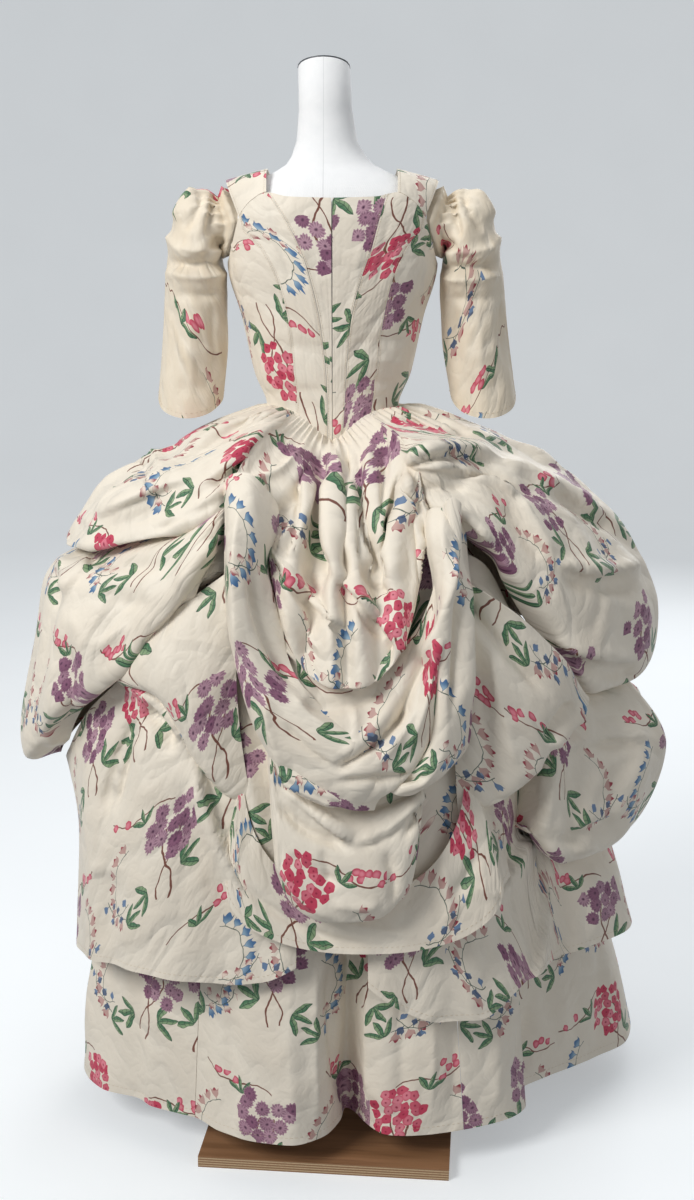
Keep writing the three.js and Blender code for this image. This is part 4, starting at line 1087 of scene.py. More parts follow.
for side, sign in (("left", -1), ("right", 1)):
    inner, outer = (seam_azimuth(seam + side.title(), sign) for seam in ("inner", "outer"))
    under_arm = fixed(sign * UNDER_ARM)
    for name, begin, end, columns, flat in (
        ("centre_back", fixed(0), inner, 26, (0.06, 0.38, 0.011)),
        ("side_back", inner, outer, 36, (0.075, 0.37, 0.019)),
        ("side", outer, under_arm, 36, (0.17, 0.31, 0.035)),
        ("front", under_arm, fixed(sign * 180), 48, (0.28, 0.30, 0.052)),
    ):
        cut(f"bodice_{name}_{side}", bodice_piece, columns, 70, (begin, end), flat, "stretched",
            ["form_torso"], inwards=-sign, uneven=0.35, seed=len(pieces) + 3, seen_rows=BODICE)
    cut(f"shoulder_strap_{side}", strap, 24, 48, (sign,), (0.07, 0.20, 0.013), "stretched",
        ["form_torso"], inwards=-sign, uneven=0.5, seed=len(pieces) + 3)
    cut(f"sleeve_{side}", sleeve, 120, 80, (sign, SLEEVE_SWING[side]), (0.42, 0.38, 0.12), "hung",
        [f"shoulder_strap_{side}", f"bodice_side_{side}"], "sleeve_silk", inwards=sign, closed=True,
        uneven=2.2, seed=len(pieces) + 3, tuck=((-sign * SLEEVE_TUCK, 0, 0), 0.12),
        seen_rows=[dict(row, depth=row["depth"] * SLEEVE_CREASE_GAIN) for row in SLEEVES[side]])
    for part, label, nu, nv, held, seed, turn, rests_on in (
        ("upper", "upper_puff", 196, 100, "gathered", 31, ((-sign * 26, 34, -4), None),
         [f"bodice_side_{side}", f"overskirt_side_{side}_lower_puff"]),
        ("lower", "lower_puff", 180, 74, "draped", 41, ((-sign * 26, 40, 0), None),
         [f"overskirt_side_{side}_upper_puff", f"overskirt_side_{side}_hem"]),
        ("panel", "hem", 150, 56, "hung", 51, None, [f"overskirt_side_{side}_lower_puff"]),
    ):
        key = f"{part}_{side}"
        cut(f"overskirt_side_{side}_{label}", side_width, nu, nv, (side, part), SIDE_CUT[key], held,
            rests_on, inwards=sign, seen_rows=SIDE_SEEN[key], laps=LAPS[key], uneven=3,
            seed=seed + sign, turn=turn, round_rows=[widened(row, sign) for row in SIDES[key]])

for part, nu, nv, flat, held, rows, seed, turn, rests_on in (
    ("pouf", 190, 130, (0.78, 0.46, 0.22), "gathered", POUF, 61, ((6, 40, -4), (-6, 40, -4)),
     ["bodice_centre_back_left", "bodice_centre_back_right"]),
    ("swag", 170, 80, (0.95, 0.30, 0.26), "draped", SWAG, 62, None, ["overskirt_centre_pouf"]),
    ("tail", 130, 70, (0.60, 0.26, 0.09), "draped", TAIL, 63, ((-10, 50, 0), (10, 50, 0)),
     ["overskirt_centre_swag"]),
    ("hem", 120, 30, (0.62, 0.18, 0.07), "hung", CENTRE_HEM, 64, ((-14, 40, 0), (14, 40, 0)),
     ["overskirt_centre_tail"]),
):
    cut(f"overskirt_centre_{part}", centre_width, nu, nv, (part,), flat, held, rests_on, seen_rows=rows,
        laps=LAPS.get(part), uneven=2, seed=seed, turn=turn)
for name, begin, end, columns, flat in (
    ("centre_back", -44, 38, 160, (0.56, 1.06, 0.42)), ("side_right", 38, 150, 120, (0.95, 1.10, 0.72)),
    ("front", 150, 210, 48, (0.36, 1.10, 0.31)), ("side_left", -150, -44, 110, (0.76, 1.08, 0.62)),
):
    name = "petticoat_" + name
    cut(name, petticoat, columns, 72, (begin, end), flat, "hung", ["form_torso"], uneven=2,
        seed=71 + columns % 7, seen_rows=PETTICOAT_BACK, round_rows=SIDES.get(name))

# %% [markdown]
# ## Painted silk
#
# The silk was painted by hand with sprays: clusters of small florets on crossed
# stems, trios of leaves, garlands of bells and twigs with berries. The shader draws
# each kind from distances in the cloth's own measure. One cell of the pattern holds
# one composition; a hash of the cell turns, mirrors and recolours it, and shifts it
# a little, so that no two neighbours are alike.
#
# `Wire` only makes the node arithmetic readable: each operator adds one Math node.

# %% Node arithmetic
def paint(r, g, b):
    """A colour as painters name it, 0 to 255, turned into linear light."""
    value = np.array([r, g, b]) / 255
    linear = np.where(value <= 0.04045, value / 12.92, ((value + 0.055) / 1.055) ** 2.4)
    return (*linear.tolist(), 1.0)


def feed(tree, value, place):
    """Gives an input of a node a link or a value."""
    source = value.socket if isinstance(value, Wire) else value
    if isinstance(source, bpy.types.NodeSocket):
        tree.links.new(source, place)
    else:
        place.default_value = source


def add(tree, kind, inputs=(), **settings):
    """A new node with its settings and what goes into it."""
    node = tree.nodes.new(kind)
    for name, value in settings.items():
        setattr(node, name, value)
    for key, value in dict(inputs).items():
        feed(tree, value, node.inputs[key])
    return node


class Wire:
    def __init__(self, tree, socket):
        self.tree, self.socket = tree, socket

    def into(self, kind, inputs, output=0, **settings):
        """What comes out of a new node."""
        return Wire(self.tree, add(self.tree, kind, inputs, **settings).outputs[output])

    def math(self, operation, *others):
        return self.into("ShaderNodeMath", enumerate((self,) + others), operation=operation)

    def __add__(self, other): return self.math("ADD", other)
    def __sub__(self, other): return self.math("SUBTRACT", other)
    def __mul__(self, other): return self.math("MULTIPLY", other)
    def __truediv__(self, other): return self.math("DIVIDE", other)
    __radd__, __rmul__ = __add__, __mul__
    def __rsub__(self, other): return (self * -1) + other
    def __abs__(self): return self.math("ABSOLUTE")
    def __pow__(self, other): return self.math("POWER", other)
    def sin(self): return self.math("SINE")
    def cos(self): return self.math("COSINE")
    def floor(self): return self.math("FLOOR")
    def least(self, other): return self.math("MINIMUM", other)
    def most(self, other): return self.math("MAXIMUM", other)
    def over(self, other): return self.math("GREATER_THAN", other)
    def under(self, other): return self.math("LESS_THAN", other)

    def soft(self, start, end):
        """0 at start, 1 at end, smooth between."""
        return self.into("ShaderNodeMapRange", {"Value": self, "From Min": start, "From Max": end},
                         "Result", interpolation_type="SMOOTHSTEP")

    def mix(self, first, second):
        """The first colour at 0, the second at 1."""
        return self.into("ShaderNodeMix", {0: self, 6: first, 7: second}, 2, data_type="RGBA")

    def parts(self):
        node = add(self.tree, "ShaderNodeSeparateXYZ", {0: self})
        return [Wire(self.tree, output) for output in node.outputs]


def vector(x, y, z=0.0):
    return x.into("ShaderNodeCombineXYZ", enumerate((x, y, z)))


def polar_of(x, y):
    """How far and in which direction a place lies."""
    return (x * x + y * y).math("SQRT"), y.math("ARCTAN2", x)


def chance(x, y, number):
    """Three numbers from 0 to 1 that belong to a cell."""
    cell = {"Vector": vector(x, y, number)}
    return x.into("ShaderNodeTexWhiteNoise", cell, "Color", noise_dimensions="3D").parts()


def noise(place, scale, detail=2.0, output=0, dimensions="3D", twist=0.0):
    """Noise at a place: its level, or its three-part colour."""
    inputs = {"Vector": place, "Scale": scale, "Detail": detail, "Distortion": twist}
    return place.into("ShaderNodeTexNoise", inputs, output, noise_dimensions=dimensions)


def new_group(kind, name, inputs, outputs):
    """A node group with its input and its output node."""
    group = bpy.data.node_groups.new(name, kind)
    for in_out, sockets in (("INPUT", inputs), ("OUTPUT", outputs)):
        for label, socket in sockets.items():
            group.interface.new_socket(name=label, in_out=in_out, socket_type="NodeSocket" + socket)
    return group, group.nodes.new("NodeGroupInput"), group.nodes.new("NodeGroupOutput")


def new_material(name, **values):
    """A material and its node tree. Values go to the shader, with _ for a space in their names."""
    material = bpy.data.materials.new(name)
    material.use_nodes = True
    shader = material.node_tree.nodes["Principled BSDF"]
    for key, value in values.items():
        shader.inputs[key.replace("_", " ")].default_value = value
    return material, material.node_tree


def finish(tree, color, height=None, strength=0.0, distance=0.0):
    """Gives a material its colour and its relief."""
    shader = tree.nodes["Principled BSDF"]
    feed(tree, color, shader.inputs["Base Color"])
    if height is not None:
        relief = add(tree, "ShaderNodeBump",
                     {"Strength": strength, "Distance": distance, "Height": height})
        feed(tree, relief.outputs[0], shader.inputs["Normal"])

# %% [markdown]
# ### The motifs
#
# Each motif works in metres around its own middle and gives a mask from 0 to 1.
# A fan of leaves needs only one leaf: the angle round its stalk is folded, so the
# same leaf appears three times.

# %% Motifs
def leaf_fan(x, y, cx, cy, heading, spread, length, width):
    """Three leaves round a stalk. Gives their mask, their dark lines and their light side."""
    far, angle = polar_of(x - cx, y - cy)
    turned = (angle - heading).math("WRAP", math.pi, -math.pi)
    which = (turned / spread).math("ROUND").least(1.0).most(-1.0)
    local = turned - which * spread
    along, across = far * local.cos() / length, far * local.sin()
    half = ((along * (1 - along)).most(0.0) ** 0.75) * (width * 2.6)
    mask = (half - abs(across)).soft(0.0, 0.0006) * local.cos().over(0.0)
    vein = (0.0006 - abs(across)).soft(0.0, 0.0004)
    rim = (0.0010 - (half - abs(across))).soft(0.0, 0.0005)
    stripes = ((along * 14 + abs(across) * 260) * 2.0).sin().over(0.72) * 0.45
    return mask, vein.most(rim).most(stripes) * mask, across.soft(-width * 0.6, width * 0.6)


def strand(x, y, y0, y1, swing, waves, phase, width):
    """A thin stem that runs from height y0 up to y1 and sways."""
    up = (y - y0) / (y1 - y0)
    path = (up * waves + phase).sin() * swing
    return (width - abs(x - path)).soft(0.0, 0.0006) * up.over(0.0) * up.under(1.0)


def garland(x, y, cx, cy, radius, start, end, count, size, both):
    """Bells along an arc. Gives their mask, how near their mouth, the stem's mask and their body."""
    far, angle = polar_of(x - cx, y - cy)
    share = (angle - start) / (end - start)
    inside = share.over(0.0) * share.under(1.0)
    bell = (share * count).floor()
    middle = (bell + 0.5) / count * (end - start) + start
    side = (far - radius).math("SIGN")
    odd = bell.math("MODULO", 2.0) * 2 - 1
    shown = (side * odd).over(-0.5) if both else side.over(0.0)
    off = (angle - middle) * far
    out = abs(far - radius) - 0.0022
    drop = out / size
    teeth = (off / size * 9.0).cos() * 0.16
    half = (drop.soft(0.0, 0.55) * 0.36 + drop * 0.16 + 0.06) * size
    mask = (half - abs(off)).soft(0.0, 0.0006) * out.over(0.0) * (1.0 - (drop - teeth)).soft(0.0, 0.08)
    stalk = (0.0005 - abs(off)).soft(-0.0002, 0.0003) * out.under(0.001)
    stem = (0.0006 - abs(far - radius)).soft(-0.0002, 0.0004).most(stalk * shown)
    return mask * inside * shown, drop, stem * inside, (half - abs(off)).soft(0.0, 0.0016)


def florets(x, y, cx, cy, wide, high, size, petals, luck, notch):
    """A cluster of small flowers. Gives their mask, the place from a heart to its rim, three numbers
    that belong to a flower and the direction round its heart."""
    shift_x, shift_y = luck[0] * 37.0 + 3.0, luck[1] * 29.0 + 5.0
    place = vector((x - cx) / size + shift_x, (y - cy) / size + shift_y)
    node = add(place.tree, "ShaderNodeTexVoronoi", {"Vector": place}, voronoi_dimensions="2D")
    node.inputs["Scale"].default_value = 1.0
    node.inputs["Randomness"].default_value = 0.7
    px, py, _ = Wire(place.tree, node.outputs["Position"]).parts()
    own = Wire(place.tree, node.outputs["Color"]).parts()
    mx, my = (px - shift_x) * size / wide, (py - shift_y) * size / high
    inside = (mx * mx + my * my + own[0] * 0.35).under(1.05)
    fx, fy, _ = place.parts()
    far, angle = polar_of(fx - px, fy - py)
    rim = ((angle * petals + own[1] * 6.0).cos() * notch + 1.0) * 0.56
    return (rim - far).soft(0.0, 0.05) * inside, far / 0.56, own, angle

# %% [markdown]
# ### One composition
#
# A bouquet hangs in one half of the cell and a garland in the other, with a twig of
# berries between them.

# %% The painted group
SILK = paint(230, 220, 204)
STEM, FINE = paint(118, 74, 62), paint(64, 84, 74)
LEAF_DARK, LEAF, LEAF_LIGHT = paint(36, 62, 52), paint(70, 116, 84), paint(138, 164, 126)
PURPLE_DARK, PURPLE, PURPLE_LIGHT = paint(84, 48, 74), paint(138, 92, 118), paint(190, 152, 168)
RED_DARK, RED, RED_LIGHT = paint(146, 34, 62), paint(194, 66, 92), paint(226, 136, 150)
BLUE_DARK, BLUE, BLUE_LIGHT = paint(40, 72, 112), paint(72, 112, 156), paint(148, 176, 196)
BELL_RED, BELL_WHITE = paint(150, 52, 68), paint(232, 214, 200)
CELL_WIDE, CELL_HIGH = 0.19, 0.225
WAVER = 0.006  # how far the painter's lines stray, in metres


def painted_group():
    tree, source, sink = new_group(
        "ShaderNodeTree", "painted sprays",
        {"Cloth": "Vector", "Bouquets": "Float", "Garlands": "Float", "Silk": "Color"},
        {"Color": "Color", "Paint": "Float"})
    cloth = Wire(tree, source.outputs["Cloth"])
    u, v, _ = cloth.parts()
    row = (v / CELL_HIGH).floor()
    across = u / CELL_WIDE + row * 0.5 + (row * 1.7).sin() * 0.12
    column = across.floor()
    first, second, third = (chance(column, row, k) for k in (1.0, 2.0, 3.0))
    x = (across - column - 0.5) * CELL_WIDE
    y = (v / CELL_HIGH - row - 0.5) * CELL_HIGH
    wx, wy, _ = noise(cloth, 55, 1, "Color", "2D").parts()
    x, y = x + (wx - 0.5) * WAVER, y + (wy - 0.5) * WAVER
    turn = (first[0] - 0.5) * 0.7
    c, s = turn.cos(), turn.sin()
    mirror = first[1].over(0.5) * 2 - 1
    shift = (first[2] - 0.5) * 0.012
    x, y = (x * c - y * s) * mirror + shift, x * s + y * c + shift
    bouquet = second[0].under(Wire(tree, source.outputs["Bouquets"]))
    chain = second[1].under(Wire(tree, source.outputs["Garlands"]))
    color = Wire(tree, source.outputs["Silk"])
    covered = None

    def lay(mask, tint):
        nonlocal color, covered
        color = mask.mix(color, tint)
        covered = mask if covered is None else covered.most(mask)

    # crossed stems of the bouquet, and the twig between bouquet and garland
    bx, by = x + 0.043, y - 0.016
    stems = strand(bx, by, -0.072, 0.030, 0.012, 4.6, -2.2, 0.0018)
    stems = stems.most(strand(bx, by, -0.066, 0.034, -0.012, 4.9, -2.4, 0.0015))
    lay(stems * bouquet, STEM)
    lay(strand(y - 0.080, x, -0.040, 0.075, 0.008, 6.5, 0.4, 0.0013) * chain, STEM)
    berries, far, own, _ = florets(x, y, 0.040, 0.086, 0.034, 0.014, 0.0115, 5.0, third, 0.02)
    lay(berries * own[2].over(0.45) * chain, far.soft(0.2, 1.0).mix(RED_LIGHT, RED))
    for cx, cy, heading, spread, size, shown in (
        (-0.064, -0.014, 2.7, 0.95, 0.024, bouquet), (-0.018, -0.034, -0.5, 0.9, 0.021, bouquet),
        (0.020, -0.070, 2.6, 0.85, 0.020, chain), (0.004, 0.066, 1.1, 0.9, 0.017, chain),
    ):
        mask, lines, light = leaf_fan(x, y, cx, cy, heading, spread, size * 1.55, size * 0.26)
        lay(mask * shown, lines.mix(light.mix(LEAF, LEAF_LIGHT), LEAF_DARK))
    # garlands of bells: blue ones, or red and white ones
    blue = second[2].over(0.45)
    bells, drop, stem, body = garland(x, y, 0.012, -0.010, 0.052, -1.35, 1.15, 8.0, 0.0140, False)
    lay(stem * chain, FINE)
    blues = body.mix(BLUE_DARK, drop.soft(0.1, 0.9).mix(BLUE_LIGHT, BLUE))
    stripe = (body * 9.0).sin().over(0.2)
    whites = drop.soft(0.5, 0.95).most(1.0 - body).most(stripe * 0.5).mix(BELL_WHITE, BELL_RED)
    lay(bells * chain, blue.mix(whites, blues))
    small, drop, stem, body = garland(x, y, 0.048, -0.012, 0.038, -2.3, -0.3, 6.0, 0.0115, True)
    lay(stem * chain, FINE)
    whites = drop.soft(0.4, 0.9).most(1.0 - body).mix(BELL_WHITE, BELL_RED)
    lay(small * chain * 0.9, blue.mix(blues, whites))
    # the bouquet's flowers: fringed purple ones, or round red ones
    purple = third[2].under(0.52)
    fringed, far, own, angle = florets(x, y, -0.043, 0.046, 0.050, 0.042, 0.0205, 13.0, first, 0.10)
    rays = ((angle * 13.0).cos() * 0.5 + 0.5) * far.soft(0.15, 0.9)
    tint = own[1].soft(0.1, 0.95).mix(PURPLE, PURPLE_LIGHT)
    tint = (rays * 0.7).mix(tint, PURPLE_DARK)
    tint = (far.soft(0.7, 1.0) * 0.6).mix(tint, PURPLE_LIGHT)
    lay(fringed * purple * bouquet, (1.0 - far.soft(0.05, 0.32)).mix(tint, PURPLE_DARK))
    round_ones, far, own, _ = florets(x, y, -0.043, 0.044, 0.040, 0.040, 0.0138, 5.0, second, 0.06)
    tint = own[0].soft(0.2, 0.9).mix(RED, RED_LIGHT)
    tint = (far.soft(0.55, 1.0) * 0.75).mix(tint, RED)
    lay(round_ones * (1.0 - purple) * bouquet, (1.0 - far.soft(0.05, 0.28)).mix(tint, RED_DARK))
    feed(tree, color, sink.inputs["Color"])
    feed(tree, covered, sink.inputs["Paint"])
    return tree


def crumple_group():
    """Small unevenness of crumpled silk as a height, from the cloth's own measure, and the same height as
    painted light that lightens the silk on the raised crumples.
    """
    tree, source, sink = new_group("ShaderNodeTree", "crumpled silk with painted light", {"Cloth": "Vector"},
                                   {"Height": "Float", "Shade": "Float"})
    cloth = Wire(tree, source.outputs["Cloth"])
    total = 0.0
    for scale, strength, twist in ((9.0, 1.0, 0.6), (26.0, 0.42, 0.0), (80.0, 0.10, 0.0)):
        level = noise(cloth, scale, 0, 0, "2D", twist)
        total = ((1.0 - abs(level - 0.5) * 5.0).most(0.0) * 0.6 + level) * strength + total
    feed(tree, total, sink.inputs["Height"])
    # painted light: the raised crumples are painted lighter than the hollows between them
    feed(tree, total * 0.4, sink.inputs["Shade"])
    return tree


PAINTED = painted_group()
CRUMPLE_AND_LIGHT = crumple_group()


def silk(name, ground, bouquets, garlands):
    material, tree = new_material(name, Roughness=0.52, Specular_IOR_Level=0.32, Sheen_Weight=0.12,
                                  Sheen_Roughness=0.4)
    cloth = add(tree, "ShaderNodeUVMap", uv_map="cloth").outputs[0]
    crumple_and_light = add(tree, "ShaderNodeGroup", node_tree=CRUMPLE_AND_LIGHT)
    feed(tree, cloth, crumple_and_light.inputs["Cloth"])
    # the ground colour is painted lighter on the raised crumples, as painted light on the relief
    base = Wire(tree, crumple_and_light.outputs["Shade"]).mix(ground, paint(240, 233, 219))
    sprays = add(tree, "ShaderNodeGroup", node_tree=PAINTED)
    for place, value in zip(sprays.inputs, (cloth, bouquets, garlands, base)):
        feed(tree, value, place)
    finish(tree, sprays.outputs["Color"], crumple_and_light.outputs["Height"], 0.8, 0.0042)
    return material


SLOTS = {
    "painted_silk": silk("painted silk", SILK, 0.95, 0.92),
    "sleeve_silk": silk("sleeve silk", paint(222, 205, 178), 0.12, 0.55),
}
for entry in pieces.values():
    entry["piece"].data.materials.append(SLOTS[entry["slot"]])

# %% [markdown]
# ## Sewing
#
# The long seams of the bodice are lapped and closed by small backstitches that show
# outside. Hems are held by a longer running stitch. Each row follows the finished
# cloth at a set distance from an edge. Geometry Nodes lay one stitch at each step,
# and the result becomes a plain mesh.

# %% Rows of stitches
def inset(piece, edge, distance, lift=0.25):
    """A line on a finished piece at a distance in millimetres from one of its edges."""
    grid = piece["grid"]
    if piece["closed"]:
        grid = np.concatenate([grid, grid[:, :1]], axis=1)
    out = grid - normals_of(grid) * piece["inwards"] * lift * MM
    run = {"first": out, "last": out[:, ::-1], "hem": out[::-1].swapaxes(0, 1)}[edge]
    return np.array([[np.interp(distance * MM, along, points[:, axis]) for axis in range(3)]
                     for points, along in zip(run, run_length(run, 1))])


def stitch_tree():
    tree, source, sink = new_group(
        "GeometryNodeTree", "stitch row",
        {"Geometry": "Geometry", "Step": "Float", "Length": "Float", "Radius": "Float",
         "Thread": "Material", "Seed": "Int"}, {"Geometry": "Geometry"})
    given = source.outputs
    curve = add(tree, "GeometryNodeMeshToCurve", {"Mesh": given["Geometry"]})
    steps = add(tree, "GeometryNodeResampleCurve", mode="LENGTH")
    lay = add(tree, "GeometryNodeCurveToPoints", mode="EVALUATED")
    thread = add(tree, "GeometryNodeMeshCylinder", {"Vertices": 6, "Depth": given["Length"],
                                                    "Radius": given["Radius"]}, fill_type="NGON")
    uneven = add(tree, "FunctionNodeRandomValue", {"Min": (0.85, 0.85, 0.72), "Max": (1.15, 1.15, 1.1),
                                                   "Seed": given["Seed"]}, data_type="FLOAT_VECTOR")
    feed(tree, curve.outputs["Curve"], steps.inputs["Curve"])
    feed(tree, given["Step"], steps.inputs["Length"])
    feed(tree, steps.outputs["Curve"], lay.inputs["Curve"])
    laid = add(tree, "GeometryNodeInstanceOnPoints", {
        "Points": lay.outputs["Points"], "Rotation": lay.outputs["Rotation"],
        "Instance": thread.outputs["Mesh"], "Scale": uneven.outputs["Value"]})
    real = add(tree, "GeometryNodeRealizeInstances", {"Geometry": laid.outputs["Instances"]})
    even_shade = add(tree, "GeometryNodeSetShadeSmooth", {"Geometry": real.outputs["Geometry"]})
    painted = add(tree, "GeometryNodeSetMaterial", {"Geometry": even_shade.outputs["Geometry"],
                                                    "Material": given["Thread"]})
    feed(tree, painted.outputs["Geometry"], sink.inputs["Geometry"])
    return tree


def place_on(tree):
    """The place on the object, in metres."""
    return Wire(tree, tree.nodes.new("ShaderNodeTexCoord").outputs["Object"])


THREAD, tree = new_material("silk thread", Roughness=0.5)
place = place_on(tree)
ply = place.into("ShaderNodeTexWave", {"Vector": place, "Scale": 900}, "Fac")
finish(tree, ply.mix(paint(196, 176, 146), paint(214, 198, 172)))
STITCH_TREE = stitch_tree()
BACKSTITCH = dict(Step=3.4, Length=2.3, Radius=0.17)  # in millimetres
RUNNING = dict(Step=7.5, Length=4.2, Radius=0.17)


def sew(name, rows, stitch):
    """One plain mesh of stitches on a piece, in rows given by an edge and a distance from it."""
    lines = [inset(pieces[name], edge, distance) for edge, distance in rows]
    mesh = bpy.data.meshes.new("stitches_" + name)
    starts = np.cumsum([0] + [len(line) for line in lines])
    edges = [(start + k, start + k + 1)
             for start, line in zip(starts, lines) for k in range(len(line) - 1)]
    mesh.from_pydata(np.concatenate(lines).tolist(), edges, [])
    stitches = bpy.data.objects.new("stitches_" + name, mesh)
    collection.objects.link(stitches)
    modifier = stitches.modifiers.new("stitches", "NODES")
    modifier.node_group = STITCH_TREE
    values = dict({key: value * MM for key, value in stitch.items()}, Thread=THREAD, Seed=len(name))
    for item in STITCH_TREE.interface.items_tree:
        if item.in_out == "INPUT" and item.name in values:
            modifier[item.identifier] = values[item.name]
    depsgraph = bpy.context.evaluated_depsgraph_get()
    sewn = bpy.data.meshes.new_from_object(stitches.evaluated_get(depsgraph))
    stitches.modifiers.remove(modifier)
    stitches.data = sewn
    pieces[name]["with"] = [stitches]


for side in ("left", "right"):
    for name, *rows in (
        ("bodice_centre_back", ("last", 2.2)), ("bodice_side_back", ("first", 2.0), ("last", 2.2)),
        ("bodice_side", ("first", 2.0), ("last", 2.2)), ("bodice_front", ("first", 2.2)),
        ("shoulder_strap", ("first", 3), ("last", 3)),
    ):
        sew(f"{name}_{side}", rows, BACKSTITCH)
    sew(f"sleeve_{side}", [("hem", 7)], RUNNING)
    sew(f"overskirt_side_{side}_hem", [("hem", 9)], RUNNING)
sew("overskirt_centre_hem", [("hem", 9)], RUNNING)
for name in ("centre_back", "side_right", "front", "side_left"):
    sew("petticoat_" + name, [("hem", 11)], RUNNING)

# %% [markdown]
# ## The stand
#
# The form keeps its construction solids. They need only their finishes: a white
# knitted cover, a dark cap on the neck, grey steel, and a board of birch plywood
# with a brown stained top and bare edges.

# %% Finishes of the stand
def give(name, material):
    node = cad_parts[name]
    node.data.materials.clear()
    node.data.materials.append(material)
    return node


def stretched(place, *ways):
    """A place with each of its three parts multiplied."""
    return vector(*(part * way for part, way in zip(place.parts(), ways)))


cover, tree = new_material("white knitted cover", Roughness=0.85)
place = place_on(tree)
x, y, z = place.parts()
wale = (y.math("ARCTAN2", x + 0.012) * 220).sin() * 0.5 + (z * 3600).sin() * 0.5
seam_line = (0.0005 - abs(x + 0.012)).soft(0.0, 0.0004)
tone = noise(place, 60).mix(paint(236, 238, 240), paint(246, 247, 248))
finish(tree, (seam_line * 0.4).mix(tone, paint(170, 172, 176)),
       wale + noise(place, 140) * 2 - seam_line * 4, 0.35, 0.0004)
torso = give("form_torso", cover)  # its facets shade as one smooth skin
torso.modifiers.new("join the facets", "WELD").merge_threshold = 0.05 * MM
torso.modifiers.new("even shading", "WEIGHTED_NORMAL").weight = 50

cap, tree = new_material("dark cap", Roughness=0.38)
place = place_on(tree)
tone = noise(place, 420, 4).mix(paint(38, 42, 50), paint(62, 66, 74))
finish(tree, tone, noise(place, 900), 0.1, 0.0003)
give("form_neck_disc", cap)

steel, tree = new_material("grey painted steel", Roughness=0.42, Metallic=0.55)
brushed = noise(stretched(place_on(tree), 1, 1, 0.02), 300, 3)
finish(tree, brushed.mix(paint(150, 153, 156), paint(184, 187, 190)), brushed, 0.15, 0.0003)
give("form_pole", steel)

BOARD_YAW = math.radians(-5.5)
BOARD_THICK = 0.017
PLIES = 9
board, tree = new_material("stained plywood", Roughness=0.5)
place = place_on(tree)
x, y, z = place.parts()
c, s = math.cos(BOARD_YAW), math.sin(BOARD_YAW)
on_board = vector(x * c + y * s, y * c - x * s, z)
rings = noise(stretched(on_board, 0.35, 6, 1), 9, 4)
pores = noise(stretched(on_board, 0.06, 1, 1), 160, 2)
stain = rings.soft(0.3, 0.7).mix(paint(138, 100, 68), paint(162, 120, 86))
stain = (pores.soft(0.5, 0.75) * 0.4).mix(stain, paint(104, 72, 48))
layer = z / BOARD_THICK * PLIES
glue = (0.48 - abs(layer.math("FRACT") - 0.5)).soft(0.0, 0.06)
bare = layer.floor().math("MODULO", 2.0).mix(paint(150, 112, 78), paint(206, 180, 144))
bare = ((1.0 - glue) * 0.7).mix(bare, paint(96, 66, 46))
end_grain = noise(stretched(place, 1, 1, 3), 500, 2).soft(0.45, 0.7)
bare = (end_grain * 0.35).mix(bare, paint(120, 88, 62))
normal = Wire(tree, tree.nodes.new("ShaderNodeNewGeometry").outputs["True Normal"])
finish(tree, normal.parts()[2].over(0.5).mix(bare, stain), rings * 0.4 + pores, 0.2, 0.0005)
give("base_board", board)

# %% [markdown]
# ## Room and light
#
# A seamless pale sweep goes all round, so that every side can be looked at. The
# light is soft, from high on the left behind the eye, with a weaker one across.

# %% Sweep and lamps
# radius and height of the sweep
SWEEP = numbers("0 0, 1.6 0, 3.2 0, 4.6 0, 5.6 0.1, 6.4 0.5, 6.9 1.3, 7.1 2.6, 7.1 7.5")
AROUND, STATIONS = 72, 41


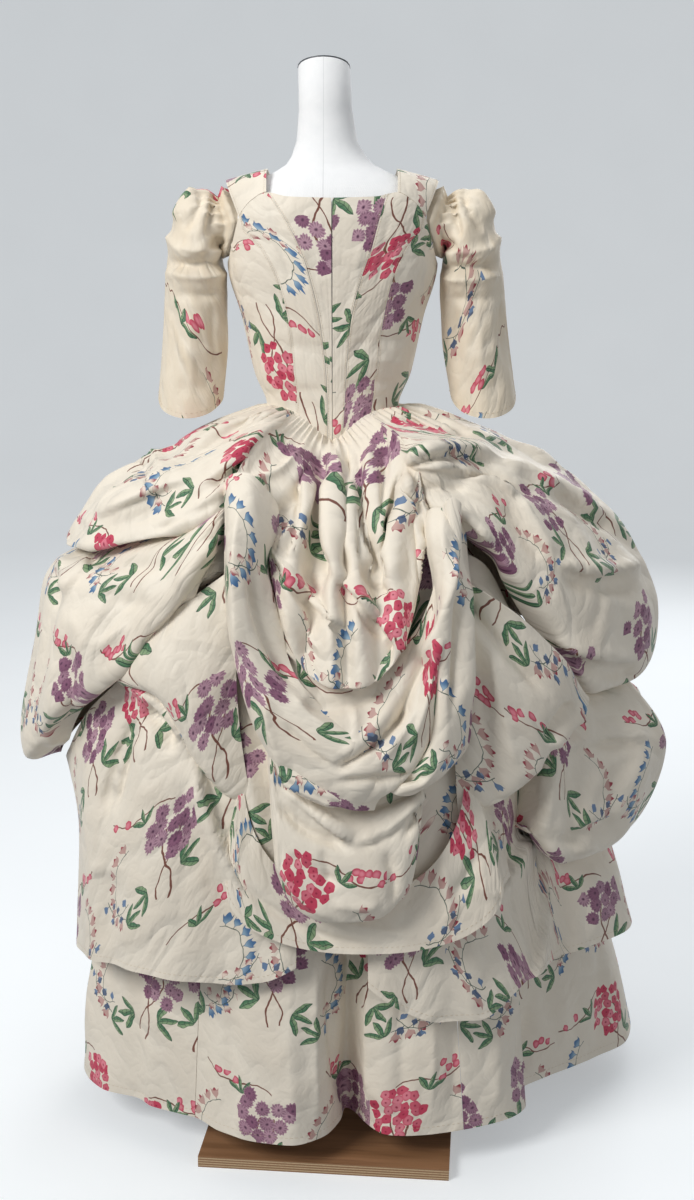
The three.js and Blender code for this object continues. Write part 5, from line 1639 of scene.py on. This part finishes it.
def sweep():
    mesh = bpy.data.meshes.new("sweep")
    around = np.linspace(0, 2 * math.pi, AROUND + 1)[:-1]
    control = np.array([[[radius, height, 0]] for radius, height in SWEEP])
    stations = through(np.broadcast_to(control, (len(SWEEP), STATIONS, 3)), np.linspace(0, 1, STATIONS))
    points = [(r * math.cos(a), r * math.sin(a), h) for r, h, _ in stations[1:] for a in around]
    faces = [[(j + 1) * AROUND + i, (j + 1) * AROUND + (i + 1) % AROUND, j * AROUND + (i + 1) % AROUND,
              j * AROUND + i] for j in range(STATIONS - 2) for i in range(AROUND)]
    faces.append(list(range(AROUND)))
    mesh.from_pydata(points, [], faces)
    mesh.shade_smooth()
    room = bpy.data.objects.new("sweep", mesh)
    collection.objects.link(room)
    paper, tree = new_material("pale paper sweep", Roughness=0.9, Emission_Strength=0.46)
    tone = noise(place_on(tree), 3).mix(paint(216, 220, 223), paint(220, 224, 227))
    finish(tree, tone)
    feed(tree, tone, tree.nodes["Principled BSDF"].inputs["Emission Color"])
    mesh.materials.append(paper)
    room.visible_diffuse = room.visible_shadow = False  # the lamps alone light the gown
    room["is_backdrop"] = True


sweep()
LAMPS = table("x y z size power red green blue", """
    -2.5 -2.3 3.0 1.5 112 1.0 0.985 0.96,
    2.8 -2.6 1.6 2.6 15 0.97 0.985 1.0,
    0.2 0.2 3.9 2.2 28 1.0 1.0 1.0,
    1.6 3.4 2.4 2.2 44 1.0 1.0 1.0""")
LAMP_AIM = Vector((0, 0, 0.8))
for number, row in enumerate(LAMPS):
    light = bpy.data.lights.new(f"soft lamp {number}", "AREA")
    light.energy, light.size = row["power"], row["size"]
    light.color = row["red"], row["green"], row["blue"]
    lamp = bpy.data.objects.new(light.name, light)
    lamp.location = row["x"], row["y"], row["z"]
    lamp.rotation_euler = (LAMP_AIM - lamp.location).to_track_quat("-Z", "Y").to_euler()
    collection.objects.link(lamp)
world = bpy.data.worlds.new("room light")
bpy.context.scene.world = world
world.use_nodes = True
background = world.node_tree.nodes["Background"]
background.inputs["Color"].default_value = (0.94, 0.96, 0.98, 1)
background.inputs["Strength"].default_value = 0.27
bpy.context.scene.view_settings.view_transform = "Standard"

# %% [markdown]
# ## Attach the pieces
#
# Every cloth rides on the one rigid body and stands in for its construction solid,
# which is hidden. Its flat size, kept with it, is the cut: width along the cloth,
# length down it, and the area where the outline is not a rectangle.

# %% Attach the pieces and hide their solids
for name, entry in pieces.items():
    piece = entry["piece"]
    piece.name = "silk_" + name
    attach(piece, "root")
    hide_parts(name)
    for extra in entry.get("with", []):
        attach(extra, "root")
for name, entry in pieces.items():
    hangs_from = [pieces[other]["piece"] if other in pieces else other for other in entry["rests_on"]]

total = sum(len(face.vertices) - 2 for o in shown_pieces() if o.type == "MESH" for face in o.data.polygons)
print("triangles in all", total)
